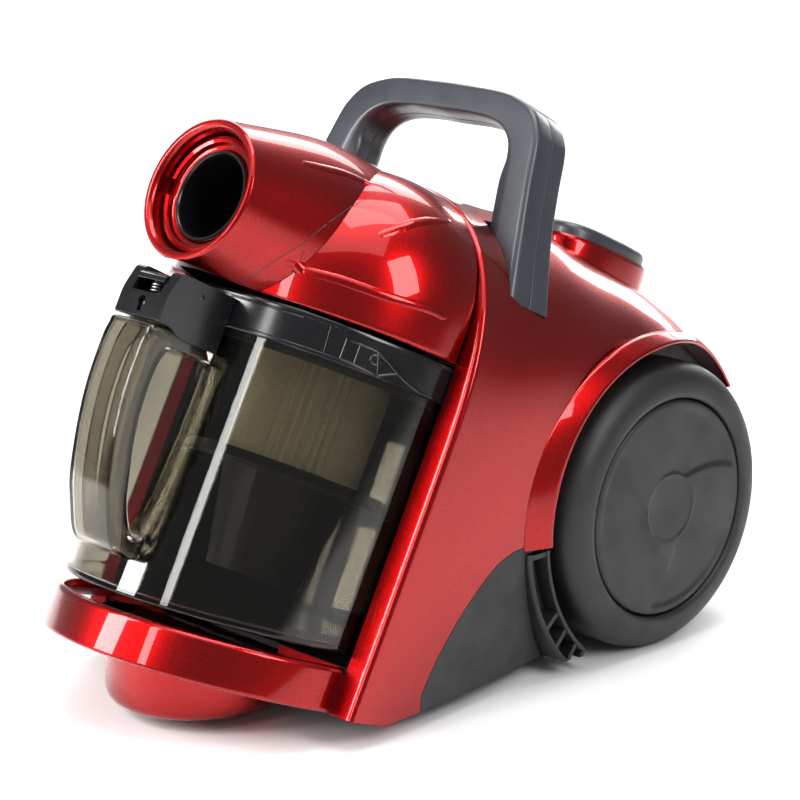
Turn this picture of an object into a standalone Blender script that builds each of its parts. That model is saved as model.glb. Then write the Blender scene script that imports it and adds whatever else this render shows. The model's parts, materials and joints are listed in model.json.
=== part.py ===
"""Canister vacuum cleaner: red shell, clear dust cup, carry handle, two big wheels and a caster.

Metres. +Z up, the cup and hose inlet face -Y, the pedals are at the rear (+Y), X is across.
The cup leans back by TILT. Its frame is (x, s, c): c runs up the cup's axis and s to the rear.
"""
import math

import bmesh
import bpy
from mathutils import Matrix, Vector

for old in list(bpy.data.objects):
    bpy.data.objects.remove(old, do_unlink=True)

MM = 0.001
GAP = 0.3                      # clearance between touching pieces, mm
WALL = 3.0                     # moulded wall, mm
CENTRE_SHIFT = 11.95           # moves the model along Y so that its box is centred, mm
TILT = math.radians(28.2)      # lean of the cup's axis
BASE_TILT = math.radians(21.1)  # lean of the tray and of the cup's underside
CUP_Y = -123.0                 # centre of the cup's underside
CUP_Z = 43.7
CUP_R = 96.3
LID_R = 97.5
LID_LOW = 137.0
LID_TOP = 157.1
HEAD_LOW = 158.8               # underside of the head
BAY_R = 98.7                   # radius of the bay that takes the cup
FRONT_S = -8.0                 # front face of the pillars
TRAY_R = 97.3
TRAY_TOP = -7.2                # below the cup's underside
TRAY_LOW = -31.3
FLOOR_Z = 9.0                  # ground clearance of the chassis
BEVEL_Z = 15.7                 # level to which the cup's rear edge is cut off
WHEEL_Y = 92.8
WHEEL_R = 83.0
WHEEL_X = 123.4                # outer face of the wheel cap
TYRE_IN = 92.0                 # inner face of the tyre
WELL_X = 87.6                  # inner wall of the wheel well
WELL_R = 93.0
AXLE_R = 5.0
CASTER_Y = -152.4
CASTER_R = 49.6
PORT_S = -131.6
PORT_C = 197.3
PORT_HOLE_R = 22.5
HANDLE_FRONT = 13.7
HANDLE_REAR = 41.0
HANDLE_LOW = 203.0
HANDLE_TOP = 318.0
PEDAL_X = 42.0
PEDAL_Y = 111.0
PEDAL_Z = 213.5                # shell surface under the pedals
PEDAL_SLOPE = math.radians(25)
SIN, COS = math.sin(TILT), math.cos(TILT)
LEAN = TILT - BASE_TILT

RED = (0.42, 0.01, 0.012)
SLATE = (0.07, 0.08, 0.10)
BLACK = (0.015, 0.015, 0.017)
GREY = (0.045, 0.045, 0.05)
STEEL = (0.55, 0.56, 0.58)


def at(x, y, z):
    """A point given in millimetres, with y before centring."""
    return Vector((x * MM, (y + CENTRE_SHIFT) * MM, z * MM))


def tilt(x, s, c):
    """A point of the cup's frame, in millimetres."""
    return at(x, CUP_Y + s * COS + c * SIN, CUP_Z - s * SIN + c * COS)


def base_c(s, depth):
    """Height c at s of the plane that lies `depth` above the cup's underside."""
    return (depth + s * math.sin(LEAN)) / math.cos(LEAN)


def material(name, colour, rough, metal=0.0, alpha=1.0):
    m = bpy.data.materials.get(name)
    if m is None:
        m = bpy.data.materials.new(name)
        m.use_nodes = True
        shader = m.node_tree.nodes["Principled BSDF"]
        shader.inputs["Base Color"].default_value = (*colour, 1.0)
        shader.inputs["Roughness"].default_value = rough
        shader.inputs["Metallic"].default_value = metal
        shader.inputs["Alpha"].default_value = alpha
    return m


def make(name, points, faces, look=None):
    mesh = bpy.data.meshes.new(name)
    mesh.from_pydata([tuple(p) for p in points], [], faces)
    bm = bmesh.new()
    bm.from_mesh(mesh)
    bmesh.ops.remove_doubles(bm, verts=bm.verts, dist=2e-6)
    bmesh.ops.recalc_face_normals(bm, faces=bm.faces)
    bm.to_mesh(mesh)
    bm.free()
    obj = bpy.data.objects.new(name, mesh)
    bpy.context.scene.collection.objects.link(obj)
    if look:
        mesh.materials.append(material(name, *look))
    return obj


def loft(name, rings, look=None):
    """Closed body through rings of equal length, with flat ends."""
    n = len(rings[0])
    points = [p for ring in rings for p in ring]
    faces = []
    for i in range(len(rings) - 1):
        for j in range(n):
            k = (j + 1) % n
            faces.append((i * n + j, i * n + k, (i + 1) * n + k, (i + 1) * n + j))
    faces.append(tuple(range(n)))
    last = (len(rings) - 1) * n
    faces.append(tuple(last + j for j in range(n)))
    return make(name, points, faces, look)


def revolve(name, profile, centre, axis, side, steps, look=None):
    """Turns a closed (radius, height) profile about an axis; radius 0 makes a pole."""
    axis, side = axis.normalized(), side.normalized()
    other = axis.cross(side)
    rings = []
    for r, h in profile:
        ring = []
        for j in range(steps):
            a = 2 * math.pi * j / steps
            ring.append(centre + axis * (h * MM) + (side * math.cos(a) + other * math.sin(a)) * (r * MM))
        rings.append(ring)
    n = len(rings)
    points = [p for ring in rings for p in ring]
    faces = []
    for i in range(n):
        k = (i + 1) % n
        if profile[i][0] == 0 and profile[k][0] == 0:
            continue
        for j in range(steps):
            m = (j + 1) % steps
            faces.append((i * steps + j, i * steps + m, k * steps + m, k * steps + j))
    return make(name, points, faces, look)


def prism(name, outline, vector, look=None):
    """Pushes a planar outline along a vector."""
    return loft(name, [outline, [p + vector for p in outline]], look)


def apply_all(obj):
    graph = bpy.context.evaluated_depsgraph_get()
    graph.update()
    mesh = bpy.data.meshes.new_from_object(obj.evaluated_get(graph))
    obj.modifiers.clear()
    old = obj.data
    obj.data = mesh
    bpy.data.meshes.remove(old)
    bm = bmesh.new()
    bm.from_mesh(mesh)
    bmesh.ops.remove_doubles(bm, verts=bm.verts, dist=2e-6)
    bmesh.ops.dissolve_degenerate(bm, edges=bm.edges, dist=2e-6)
    bm.to_mesh(mesh)
    bm.free()


def combine(obj, tools, how="DIFFERENCE", solver="EXACT"):
    """Cuts, joins or intersects with each tool and removes the tools."""
    for tool in tools:
        mod = obj.modifiers.new("cut", "BOOLEAN")
        mod.operation = how
        mod.solver = solver
        mod.object = tool
        apply_all(obj)
        bpy.data.objects.remove(tool, do_unlink=True)
    return obj


def bevel(obj, width, segments=2, angle=40):
    mod = obj.modifiers.new("bevel", "BEVEL")
    mod.width = width * MM
    mod.segments = segments
    mod.limit_method = "ANGLE"
    mod.angle_limit = math.radians(angle)
    mod.use_clamp_overlap = True
    apply_all(obj)
    return obj


def corners(low, high):
    """The (x, y) corners of a box, in order round it."""
    return ((low[0], low[1]), (high[0], low[1]), (high[0], high[1]), (low[0], high[1]))


def block(name, low, high, look=None):
    """Axis-aligned box from two corners in millimetres."""
    ring = [at(x, y, low[2]) for x, y in corners(low, high)]
    return prism(name, ring, Vector((0, 0, (high[2] - low[2]) * MM)), look)


def tilted_block(name, low, high, look=None):
    """Box aligned with the cup's frame, corners as (x, s, c)."""
    ring = [tilt(x, s, low[2]) for x, s in corners(low, high)]
    return prism(name, ring, C_DIR * ((high[2] - low[2]) * MM), look)


def side_prism(name, outline, x_low, x_high, look=None):
    """Pushes a (y, z) outline along X."""
    ring = [at(x_low, y, z) for y, z in outline]
    return prism(name, ring, Vector(((x_high - x_low) * MM, 0, 0)), look)


X_DIR = Vector((1, 0, 0))
Y_DIR = Vector((0, 1, 0))
Z_DIR = Vector((0, 0, 1))
C_DIR = Vector((0, SIN, COS))
S_DIR = Vector((0, COS, -SIN))


def tube(name, r_out, r_in, low, high, centre, axis, side, steps, look=None):
    profile = [(r_in, low), (r_out, low), (r_out, high), (r_in, high)]
    return revolve(name, profile, centre, axis, side, steps, look)


def rod(name, r, low, high, centre, axis, side, steps, look=None):
    profile = [(0, low), (r, low), (r, high), (0, high)]
    return revolve(name, profile, centre, axis, side, steps, look)


def blend(values, t):
    """Catmull-Rom interpolation of a list of number tuples at t in 0..1."""
    n = len(values) - 1
    i = min(int(t * n), n - 1)
    u = t * n - i
    a, b, c, d = (values[max(0, min(n, k))] for k in (i - 1, i, i + 1, i + 2))
    out = []
    for p, q, r, s in zip(a, b, c, d):
        square = (2 * p - 5 * q + 4 * r - s) * u * u
        cube = (3 * q - p - 3 * r + s) * u ** 3
        out.append(0.5 * (2 * q + (r - p) * u + square + cube))
    return out


# ---- main body form: base y, base z, top y, top z, half width, foot half width, side share, roundness
def front_section(s, top_c):
    c_low = (FLOOR_Z - CUP_Z + s * SIN) / COS
    low_y = CUP_Y + s * COS + c_low * SIN
    return low_y, FLOOR_Z, CUP_Y + s * COS + top_c * SIN, CUP_Z - s * SIN + top_c * COS


def body_sections(inset):
    w = inset
    front = FRONT_S + inset
    rows = [
        (*front_section(front, 252), 113.9, 113.2, 0.50, 2.7),
        (*front_section(12, 253), 113.9, 112.5, 0.50, 2.7),
        (-66, FLOOR_Z, 27, 254, 113.6, 109, 0.50, 2.7),
        (-28, FLOOR_Z, 55, 244, 113.0, 105, 0.52, 2.7),
        (15, FLOOR_Z, 83, 229, 112.5, 98, 0.54, 2.7),
        (55, FLOOR_Z, 108, 215, 112.0, 90, 0.56, 2.7),
        (90, FLOOR_Z, 133, 200, 111.0, 87, 0.56, 2.7),
        (120, FLOOR_Z, 157, 183, 108.0, 86, 0.55, 2.7),
        (146, 10, 178, 161, 102.0, 85, 0.52, 2.7),
        (163, 12, 193, 137, 95.0, 84, 0.50, 2.7),
        (175, 17, 202, 110, 88.0, 82, 0.50, 2.8),
        (185, 31, 205.5 - w, 90, 74.0, 70, 0.50, 3.0),
    ]
    out = []
    for by, bz, ty, tz, half, foot, share, power in rows:
        length = math.hypot(ty - by, tz - bz)
        uy, uz = (ty - by) / length, (tz - bz) / length
        if inset and tz < 105:
            by, bz, ty, tz = by - w, bz + w, ty - w, tz - w
        out.append((by + uy * w, bz + uz * w, ty - uy * w, tz - uz * w, half - w, foot - w, share, power))
    return out


def body_ring(row, arc_steps, side_steps):
    by, bz, ty, tz, half, foot, share, power = row
    right = []
    for i in range(side_steps):
        h = share * i / side_steps
        ease = i / side_steps
        x = foot + (half - foot) * ease * (2 - ease)
        right.append((x, h))
    for i in range(arc_steps + 1):
        a = 0.5 * math.pi * i / arc_steps
        x = half * max(math.cos(a), 0.0) ** (2 / power)
        h = share + (1 - share) * math.sin(a) ** (2 / power)
        right.append((x if i < arc_steps else 0.0, h))
    ring = right + [(-x, h) for x, h in reversed(right[:-1])]
    return [at(x, by + (ty - by) * h, bz + (tz - bz) * h) for x, h in ring]


def body_form(name, inset, steps=20):
    rows = body_sections(inset)
    rings = []
    for i in range(steps + 1):
        rings.append(body_ring(blend(rows, i / steps), 9, 4))
    return loft(name, rings)


GREY_EDGE = [(-93, 18), (-83, 34), (-68, 52), (-53, 66), (-38, 77), (-24, 82), (40, 84), (58, 31), (260, 31)]


def grey_region(name, grow):
    edge = [(y - grow, z + grow) for y, z in GREY_EDGE]
    return side_prism(name, [(-93 - grow, -20)] + edge + [(260, -20)], -150, 150)


def underside(name, depth):
    """Everything below the sloping underside of the tray and the feet."""
    ring = [tilt(-200, s, c) for s, c in ((-260, base_c(-260, depth)), (60, base_c(60, depth)),
                                          (60, -160), (-260, -160))]
    return prism(name, ring, X_DIR * (400 * MM))


def above_base(name, depth, r, high, steps=64):
    """Round column about the cup's axis, standing on the tilted base plane."""
    rings = []
    for level in (None, high):
        ring = []
        for j in range(steps):
            a = 2 * math.pi * j / steps
            x, s = r * math.cos(a), r * math.sin(a)
            ring.append(tilt(x, s, base_c(s, depth) if level is None else level))
        rings.append(ring)
    return loft(name, rings)


def wheel_rod(name, r, side, x_low, x_high, steps=64):
    return rod(name, r, x_low, x_high, at(0, WHEEL_Y, WHEEL_R), X_DIR * side, Z_DIR, steps)


# ---- fenders: ridge radius over the wheel by angle (0 = rear, 90 = up, 180 = front)
RIDGE = [(34, 96.5), (60, 97.5), (80, 98.5), (105, 101), (130, 104.5), (150, 108.5), (166, 110), (181.5, 109)]
LIP_X = 119.0


def ridge_r(angle):
    for (a0, r0), (a1, r1) in zip(RIDGE, RIDGE[1:]):
        if angle <= a1:
            return r0 + (r1 - r0) * (angle - a0) / (a1 - a0)
    return RIDGE[-1][1]


def on_wheel(side, x, r, angle):
    a = math.radians(angle)
    return at(side * x, WHEEL_Y + r * math.cos(a), WHEEL_R + r * math.sin(a))


def fender_angles():
    return [RIDGE[0][0] + (RIDGE[-1][0] - RIDGE[0][0]) * i / 20 for i in range(21)]


def skin_x(angle):
    """Where the shell's side stands at the ridge."""
    return 105.5 + 5.5 * min(1.0, max(0.0, (angle - 60) / 60))


def fender(name, side):
    rings = []
    for angle in fender_angles():
        r, x = ridge_r(angle), skin_x(angle)
        section = [(r, x + 1.6), (95.2, LIP_X), (93.4, LIP_X), (WELL_R, LIP_X - 1.2), (WELL_R, TYRE_IN - 3),
                   (95.6, TYRE_IN - 3), (95.6, x - 1.2), (r, x - 1.2)]
        rings.append([on_wheel(side, px, pr, angle) for pr, px in section])
    return loft(name, rings, (RED, 0.2, 0.3))


def fender_cut(name, side):
    rings = []
    angles = [RIDGE[0][0] - 0.4] + fender_angles()[1:-1] + [RIDGE[-1][0] + 0.4]
    for angle in angles:
        r, x = ridge_r(angle) + GAP, skin_x(angle) - 1.2 - GAP
        section = [(80, 140), (r, 140), (r, x), (80, x)]
        rings.append([on_wheel(side, px, pr, angle) for pr, px in section])
    return loft(name, rings)


def bay_tools():
    """The bay for the cup: its own radius at the pillars, the liner's radius behind them."""
    wide = above_base("wide", TRAY_TOP - WALL - GAP, BAY_R + WALL + GAP, 175)
    combine(wide, [tilted_block("front", (-150, -150, -80), (150, FRONT_S + WALL, 250))])
    tools = [above_base("bay", TRAY_TOP - WALL - GAP, BAY_R, 175), wide]
    for tool in tools:
        combine(tool, [block("floor", (-150, -300, -50), (150, 200, FLOOR_Z + WALL + 0.1))])
    return tools


def inside_tool():
    """The space inside the body, with a wall left over the sloping underside."""
    return combine(body_form("hollow", WALL), [underside("slope", TRAY_LOW + WALL)])


def well_tools():
    return [wheel_rod("well", WELL_R + WALL + GAP, side, WELL_X - WALL - GAP, 150, 40) for side in (-1, 1)]


def middle(name, grow):
    """The part of the floor between the two front feet."""
    return block(name, (-97 - grow, -300, -20), (97 + grow, -92, 130))


def caster_room():
    return rod("caster_room", CASTER_R + 0.5, -20, 60, at(0, CASTER_Y, 0), Z_DIR, X_DIR, 48)


def build_shell():
    shell = body_form("main_shell", 0)
    shell.data.materials.append(material("main_shell", RED, 0.2, 0.3))
    combine(shell, [inside_tool(), grey_region("grey", GAP), underside("under", TRAY_LOW)])
    combine(shell, [middle("middle", GAP)] + bay_tools() + well_tools())
    for side in (-1, 1):
        combine(shell, [fender_cut("fender_cut", side)], solver="MANIFOLD")
        combine(shell, [leg_cut(side), plinth_cut(side), guard_form("guard_cut", side, GAP)])
    combine(shell, [exhaust_cut(GAP), cord_rod("cord_hole", CORD_NECK_R + GAP, -20, 20)])
    return shell


def build_chassis():
    chassis = body_form("lower_chassis", 0)
    chassis.data.materials.append(material("lower_chassis", GREY, 0.6))
    region = combine(grey_region("grey", 0), [middle("middle", 0)], "UNION")
    combine(chassis, [region], "INTERSECT")
    combine(chassis, [inside_tool(), underside("under", TRAY_LOW)])
    combine(chassis, bay_tools() + well_tools() + [caster_room()])
    for side in (-1, 1):
        combine(chassis, [fender_cut("fender_cut", side)], solver="MANIFOLD")
        combine(chassis, [guard_form("guard_cut", side, GAP)])
    return chassis


# ---- carry handle
OUTER = [(98.2, HANDLE_LOW), (88.5, 244), (82, 271), (78.0, 290), (74.5, 299), (67, 308), (55, 313.5),
         (38, 316.8), (0, HANDLE_TOP)]
INNER = [(78.5, HANDLE_LOW), (69.5, 244), (63.5, 271), (60.5, 282), (55.5, 291), (47, 297.5), (36, 300.6),
         (20, 301.8), (0, 302)]


def arch(outer, inner, s_low, s_high):
    quads = []
    line_out = [(-x, c) for x, c in outer[:-1]] + [(x, c) for x, c in reversed(outer)]
    line_in = [(-x, c) for x, c in inner[:-1]] + [(x, c) for x, c in reversed(inner)]
    for (xo, co), (xi, ci) in zip(line_out, line_in):
        quads.append([tilt(xo, s_low, co), tilt(xi, s_low, ci), tilt(xi, s_high, ci), tilt(xo, s_high, co)])
    return quads


def leg_cut(side):
    lean = (98.2 - 88.5) / 41
    ring = []
    for c in (HANDLE_LOW - GAP, 262):
        shift = (c - HANDLE_LOW) * lean
        out, inner = 98.2 - shift + GAP, 78.5 - shift - GAP
        ring.append([tilt(side * out, HANDLE_FRONT - GAP, c), tilt(side * inner, HANDLE_FRONT - GAP, c),
                     tilt(side * inner, HANDLE_REAR + GAP, c), tilt(side * out, HANDLE_REAR + GAP, c)])
    outside = [[p + X_DIR * (side * 20 * MM) if k in (0, 3) else p for k, p in enumerate(r)] for r in ring]
    return loft("leg_cut", outside)


SCREW_X = 80.0
SCREW_C = 236.0


def build_handle():
    middle = 0.5 * (HANDLE_FRONT + HANDLE_REAR)
    front = loft("handle_front_shell", arch(OUTER, INNER, HANDLE_FRONT, middle - 0.5 * GAP), (SLATE, 0.35))
    rear = loft("handle_rear_shell", arch(OUTER, INNER, middle + 0.5 * GAP, HANDLE_REAR), (SLATE, 0.35))
    for side, word in ((-1, "left"), (1, "right")):
        centre = tilt(side * SCREW_X, HANDLE_REAR, SCREW_C)
        into = -S_DIR
        counterbore = rod("hole", 4.2, -2, 5.2, centre, into, X_DIR, 16)
        combine(rear, [counterbore, rod("hole", 1.8, 3, 30, centre, into, X_DIR, 12)])
        combine(front, [rod("hole", 1.8, 5, 22.5, centre, into, X_DIR, 12)])
        profile = [(0, 2.6), (3.6, 2.6), (3.6, 4.9), (1.5, 4.9), (1.5, 22), (0, 22)]
        revolve(f"handle_screw_{word}", profile, centre, into, X_DIR, 16, (STEEL, 0.3, 1.0))
    return front, rear


# ---- pedals
U_DIR = Vector((0, math.cos(PEDAL_SLOPE), -math.sin(PEDAL_SLOPE)))
N_DIR = Vector((0, math.sin(PEDAL_SLOPE), math.cos(PEDAL_SLOPE)))


def oval(side, half_x, half_u, level, steps=32, power=2.6):
    centre = at(side * PEDAL_X, PEDAL_Y, PEDAL_Z)
    ring = []
    for j in range(steps):
        a = 2 * math.pi * j / steps
        ca, sa = math.cos(a), math.sin(a)
        px = math.copysign(abs(ca) ** (2 / power), ca) * half_x
        pu = math.copysign(abs(sa) ** (2 / power), sa) * half_u
        ring.append(centre + X_DIR * (px * MM) + U_DIR * (pu * MM) + N_DIR * (level * MM))
    return ring


def oval_stack(name, side, rows, look=None):
    return loft(name, [oval(side, a, b, h) for a, b, h in rows], look)


def plinth_cut(side):
    return oval_stack("plinth_cut", side, [(25 + GAP, 39.5 + GAP, -22), (25 + GAP, 39.5 + GAP, 20)])


def build_pedal(side, label):
    levels = [(25, 39.5, -14), (25, 39.5, 2.2), (24, 38.5, 4.2)]
    plinth = oval_stack(f"{label}_plinth", side, levels, (RED, 0.2, 0.3))
    combine(plinth, [oval_stack("hole", side, [(22.2, 36.7, -11.5), (22.2, 36.7, 8)])])
    combine(plinth, [rod("hole", 2.9, -20, 0, at(side * PEDAL_X, PEDAL_Y, PEDAL_Z), N_DIR, X_DIR, 32)])
    levels = [(21.8, 36.3, -5.5), (21.8, 36.3, 8.2), (21.0, 35.5, 10.4), (18.5, 33, 12)]
    pedal = oval_stack(f"{label}_pedal", side, levels, (SLATE, 0.4))
    combine(pedal, [oval_stack("hollow", side, [(19.4, 33.9, -9), (19.4, 33.9, 8.0)])])
    stem = rod("stem", 2.8, -13.5, 9.0, at(side * PEDAL_X, PEDAL_Y, PEDAL_Z), N_DIR, X_DIR, 12)
    combine(pedal, [stem], "UNION")
    spring(f"{label}_spring", at(side * PEDAL_X, PEDAL_Y, PEDAL_Z), N_DIR, 6.0, 0.6, -11.1, 7.6, 5)
    return pedal


def spring(name, centre, axis, coil_r, wire_r, low, high, turns):
    """Helical spring with closed flat ends."""
    side = X_DIR
    other = axis.cross(side)
    steps = turns * 8
    rings = []
    low, high = low + wire_r, high - wire_r
    for i in range(steps + 1):
        t = i / steps
        a = 2 * math.pi * turns * t
        radial = side * math.cos(a) + other * math.sin(a)
        p = centre + radial * (coil_r * MM) + axis * ((low + (high - low) * t) * MM)
        rings.append([p + (radial * math.cos(b) + axis * math.sin(b)) * (wire_r * MM) for b in
                      (0, 0.5 * math.pi, math.pi, 1.5 * math.pi)])
    return loft(name, rings, (STEEL, 0.3, 1.0))


# ---- wheels
def build_wheel(side, word):
    centre = at(0, WHEEL_Y, WHEEL_R)
    axis = X_DIR * side
    tyre = [(63.0, WHEEL_X - 1.2), (66.5, WHEEL_X), (70.5, WHEEL_X - 0.6), (75.5, WHEEL_X - 3.6),
            (80.0, WHEEL_X - 9), (82.4, WHEEL_X - 15), (WHEEL_R, WHEEL_X - 20), (WHEEL_R, TYRE_IN + 3),
            (80.5, TYRE_IN), (64, TYRE_IN), (63.0, TYRE_IN + 1)]
    revolve(f"tyre_{word}", tyre, centre, axis, Z_DIR, 44, ((0.03, 0.03, 0.033), 0.6))
    cap = [(0, WHEEL_X - 0.6), (17.5, WHEEL_X - 0.6), (19, WHEEL_X - 1.4), (58, WHEEL_X + 0.4),
           (61.4, WHEEL_X - 1.0), (62.6, WHEEL_X - 3), (62.6, WHEEL_X - 6), (58, WHEEL_X - 6),
           (57, WHEEL_X - 4), (12, WHEEL_X - 4.6), (10, WHEEL_X - 8), (0, WHEEL_X - 8)]
    revolve(f"wheel_cap_{word}", cap, centre, axis, Z_DIR, 36, ((0.032, 0.032, 0.036), 0.5))
    low, high = TYRE_IN + 1.5, WHEEL_X - 6.4
    bore = AXLE_R + 0.06
    hub = [(bore, low), (16, low), (16, low + 9), (57, low + 9), (57, low), (62.6, low), (62.6, high),
           (57.5, high), (57.5, low + 12), (16, low + 12), (16, high - 6), (bore, high - 6)]
    revolve(f"wheel_hub_{word}", hub, centre, axis, Z_DIR, 28, (BLACK, 0.5))
    axle = [(0, WELL_X + 1), (AXLE_R, WELL_X + 1), (AXLE_R, high - 4), (0, high - 4)]
    revolve(f"axle_{word}", axle, centre, axis, Z_DIR, 24, (STEEL, 0.3, 1.0))


# ---- wheel wells and the ribbed guards in front of the tyres
GUARD_START = 183.0            # angle about the wheel, 180 = front
GUARD_SWEEP = 46.0
GUARD_IN = 97.0
GUARD_OUT = 116.5
GUARD_R = 107.5


def guard_form(name, side, grow=0.0, look=None):
    """Arc in front of the tyre with ribs on its outer face; `grow` leaves out the ribs."""
    rings = []
    ribs = 1 if grow else 24
    reach = math.degrees(grow / GUARD_R)
    for i in range(13 if grow else ribs + 1):
        share = i / (12 if grow else ribs)
        angle = GUARD_START - reach + (GUARD_SWEEP + 2 * reach) * share
        sunk = 0.0 if grow or i % 4 < 2 else 2.4
        top, low = GUARD_R + grow, WELL_R - grow
        out = GUARD_OUT + grow - sunk
        section = [(low, GUARD_IN - grow), (top, GUARD_IN - grow), (top, out - 5), (top - 4, out),
                   (low + 3, out), (low, out - 4)]
        rings.append([on_wheel(side, px, pr, angle) for pr, px in section])
    return loft(name, rings, look)


def build_guard(side, word):
    guard = guard_form(f"wheel_guard_{word}", side, 0, (BLACK, 0.45))
    return combine(guard, [block("ground", (-150, -100, -30), (150, 100, FLOOR_Z))])


def build_well(side, word):
    """Cup around the inner half of the wheel, trimmed to the body's skin."""
    low, r = WELL_X - WALL, WELL_R + WALL
    hole = AXLE_R + GAP
    profile = [(hole, low), (r, low), (r, 118), (WELL_R, 118), (WELL_R, WELL_X), (hole, WELL_X)]
    centre = at(0, WHEEL_Y, WHEEL_R)
    well = revolve(f"wheel_well_{word}", profile, centre, X_DIR * side, Z_DIR, 40, (BLACK, 0.5))
    angles = [33 + 150 * i / 10 for i in range(11)]
    sector = [on_wheel(side, WELL_X, 85, a) for a in angles]
    sector += [on_wheel(side, WELL_X, 140, a) for a in reversed(angles)]
    fender_room = prism("fender_room", sector, X_DIR * (side * 60 * MM))
    combine(well, [fender_room, guard_form("guard_room", side, GAP)])
    return combine(well, [body_form("skin", 0)], "INTERSECT")


# ---- head and barrel
def head_rows(inset):
    rows = []
    for s, half, top in ((FRONT_S - 1.5, 98.6, 251.5), (-26, 97.2, 250.5), (-44, 91.5, 246), (-60, 81.5, 238),
                         (-74, 67.0, 226), (-85, 50.5, 210), (-92.5, 33.0, 192), (-96.5, 18.0, 176)):
        rows.append((s, half, top))
    out = []
    for i, (s, half, top) in enumerate(rows):
        if inset:
            s = s + inset if i else s + 20
        out.append((s, half - inset, top - inset))
    return out


def head_form(name, inset, steps=16):
    rows = head_rows(inset)
    low = HEAD_LOW if not inset else HEAD_LOW - 10
    rings = []
    for i in range(steps + 1):
        s, half, top = blend(rows, i / steps)
        right = [(half, low), (half, HEAD_LOW + 4)]
        start = HEAD_LOW + 8
        for k in range(11):
            a = 0.5 * math.pi * k / 10
            x = half * max(math.cos(a), 0) ** (2 / 2.5)
            c = start + (top - start) * math.sin(a) ** (2 / 2.5)
            right.append((x if k < 10 else 0.0, c))
        ring = right + [(-x, c) for x, c in reversed(right[:-1])]
        rings.append([tilt(x, s, c) for x, c in ring])
    return loft(name, rings)


BARREL = [(PORT_S, 38.7), (-120, 41.4), (-105, 45.2), (-90, 49.0), (-75, 52.4), (-60, 54.6), (-45, 55.4),
          (-30, 55.2),
          (FRONT_S - 1.5, 54.0)]


def barrel_form(name, grow=0.0, first=None, last=None):
    rings = []
    rows = list(BARREL)
    if first is not None:
        rows[0] = (first, rows[0][1])
    if last is not None:
        rows[-1] = (last, rows[-1][1])
    for s, r in rows:
        ring = []
        for j in range(48):
            a = 2 * math.pi * j / 48
            ring.append(tilt((r + grow) * math.cos(a), s, PORT_C + (r + grow) * math.sin(a)))
        rings.append(ring)
    return loft(name, rings)


def port_rod(name, r, s_low, s_high, steps=40, look=None):
    return rod(name, r, s_low, s_high, tilt(0, 0, PORT_C), S_DIR, X_DIR, steps, look)


def below_head(name, level):
    return tilted_block(name, (-150, -180, level - 80), (150, 40, level))


def build_head():
    for side, word in ((-1, "left"), (1, "right")):
        panel = head_form(f"head_panel_{word}", 0)
        panel.data.materials.append(material(f"head_panel_{word}", RED, 0.2, 0.3))
        combine(panel, [head_form("hollow", WALL), barrel_form("barrel_cut", GAP, PORT_S - 30, 20)])
        x_low, x_high = (-1, 200) if side < 0 else (-200, 1)
        combine(panel, [block("other_side", (x_low, -300, 0), (x_high, 300, 400))])
    barrel = barrel_form("barrel_shell")
    barrel.data.materials.append(material("barrel_shell", RED, 0.2, 0.3))
    combine(barrel, [below_head("low", HEAD_LOW)])
    combine(barrel, [port_rod("mouth", 33.4, PORT_S - 5, PORT_S + 14.9)])
    inside = barrel_form("inside", -WALL, PORT_S + 18, 30)
    combine(barrel, [inside])
    combine(barrel, [port_rod("throat", 25.4, PORT_S - 5, PORT_S + 30)])
    centre = tilt(0, 0, PORT_C)
    collar = tube("inlet_collar", 33.1, PORT_HOLE_R + 2.6 + GAP, PORT_S + 10.6, PORT_S + 14.6, centre, S_DIR,
                  X_DIR, 48, (RED, 0.25, 0.3))
    duct = tube("inlet_tube", PORT_HOLE_R + 2.5, PORT_HOLE_R, PORT_S + 10.0, -62, centre, S_DIR, X_DIR, 40,
                (BLACK, 0.4))
    return barrel, collar, duct


# ---- front tray and caster
def tray_outline(r, back):
    """Half disc in front of s = back, or a half disc with straight sides when back is behind the axis."""
    start = math.asin(-back / r) if back < 0 else 0.0
    arc = []
    for i in range(33):
        a = start + (math.pi - 2 * start) * i / 32
        arc.append((r * math.cos(a), -r * math.sin(a)))
    return arc if back < 0 else [(r, back)] + arc + [(-r, back)]


def base_loft(name, r, back, high, low, look=None):
    rings = []
    for depth in (low, high):
        rings.append([tilt(x, s, base_c(s, depth)) for x, s in tray_outline(r, back)])
    return loft(name, rings, look)


def build_tray():
    tray = base_loft("front_tray", TRAY_R, FRONT_S - GAP, TRAY_TOP, TRAY_LOW, (RED, 0.2, 0.3))
    combine(tray, [base_loft("recess", TRAY_R - 4, 0, TRAY_TOP + 20, TRAY_TOP - 4.5)])
    combine(tray, [block("ground", (-150, -300, -20), (150, 0, FLOOR_Z))])
    combine(tray, [caster_room()])
    return tray


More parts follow.
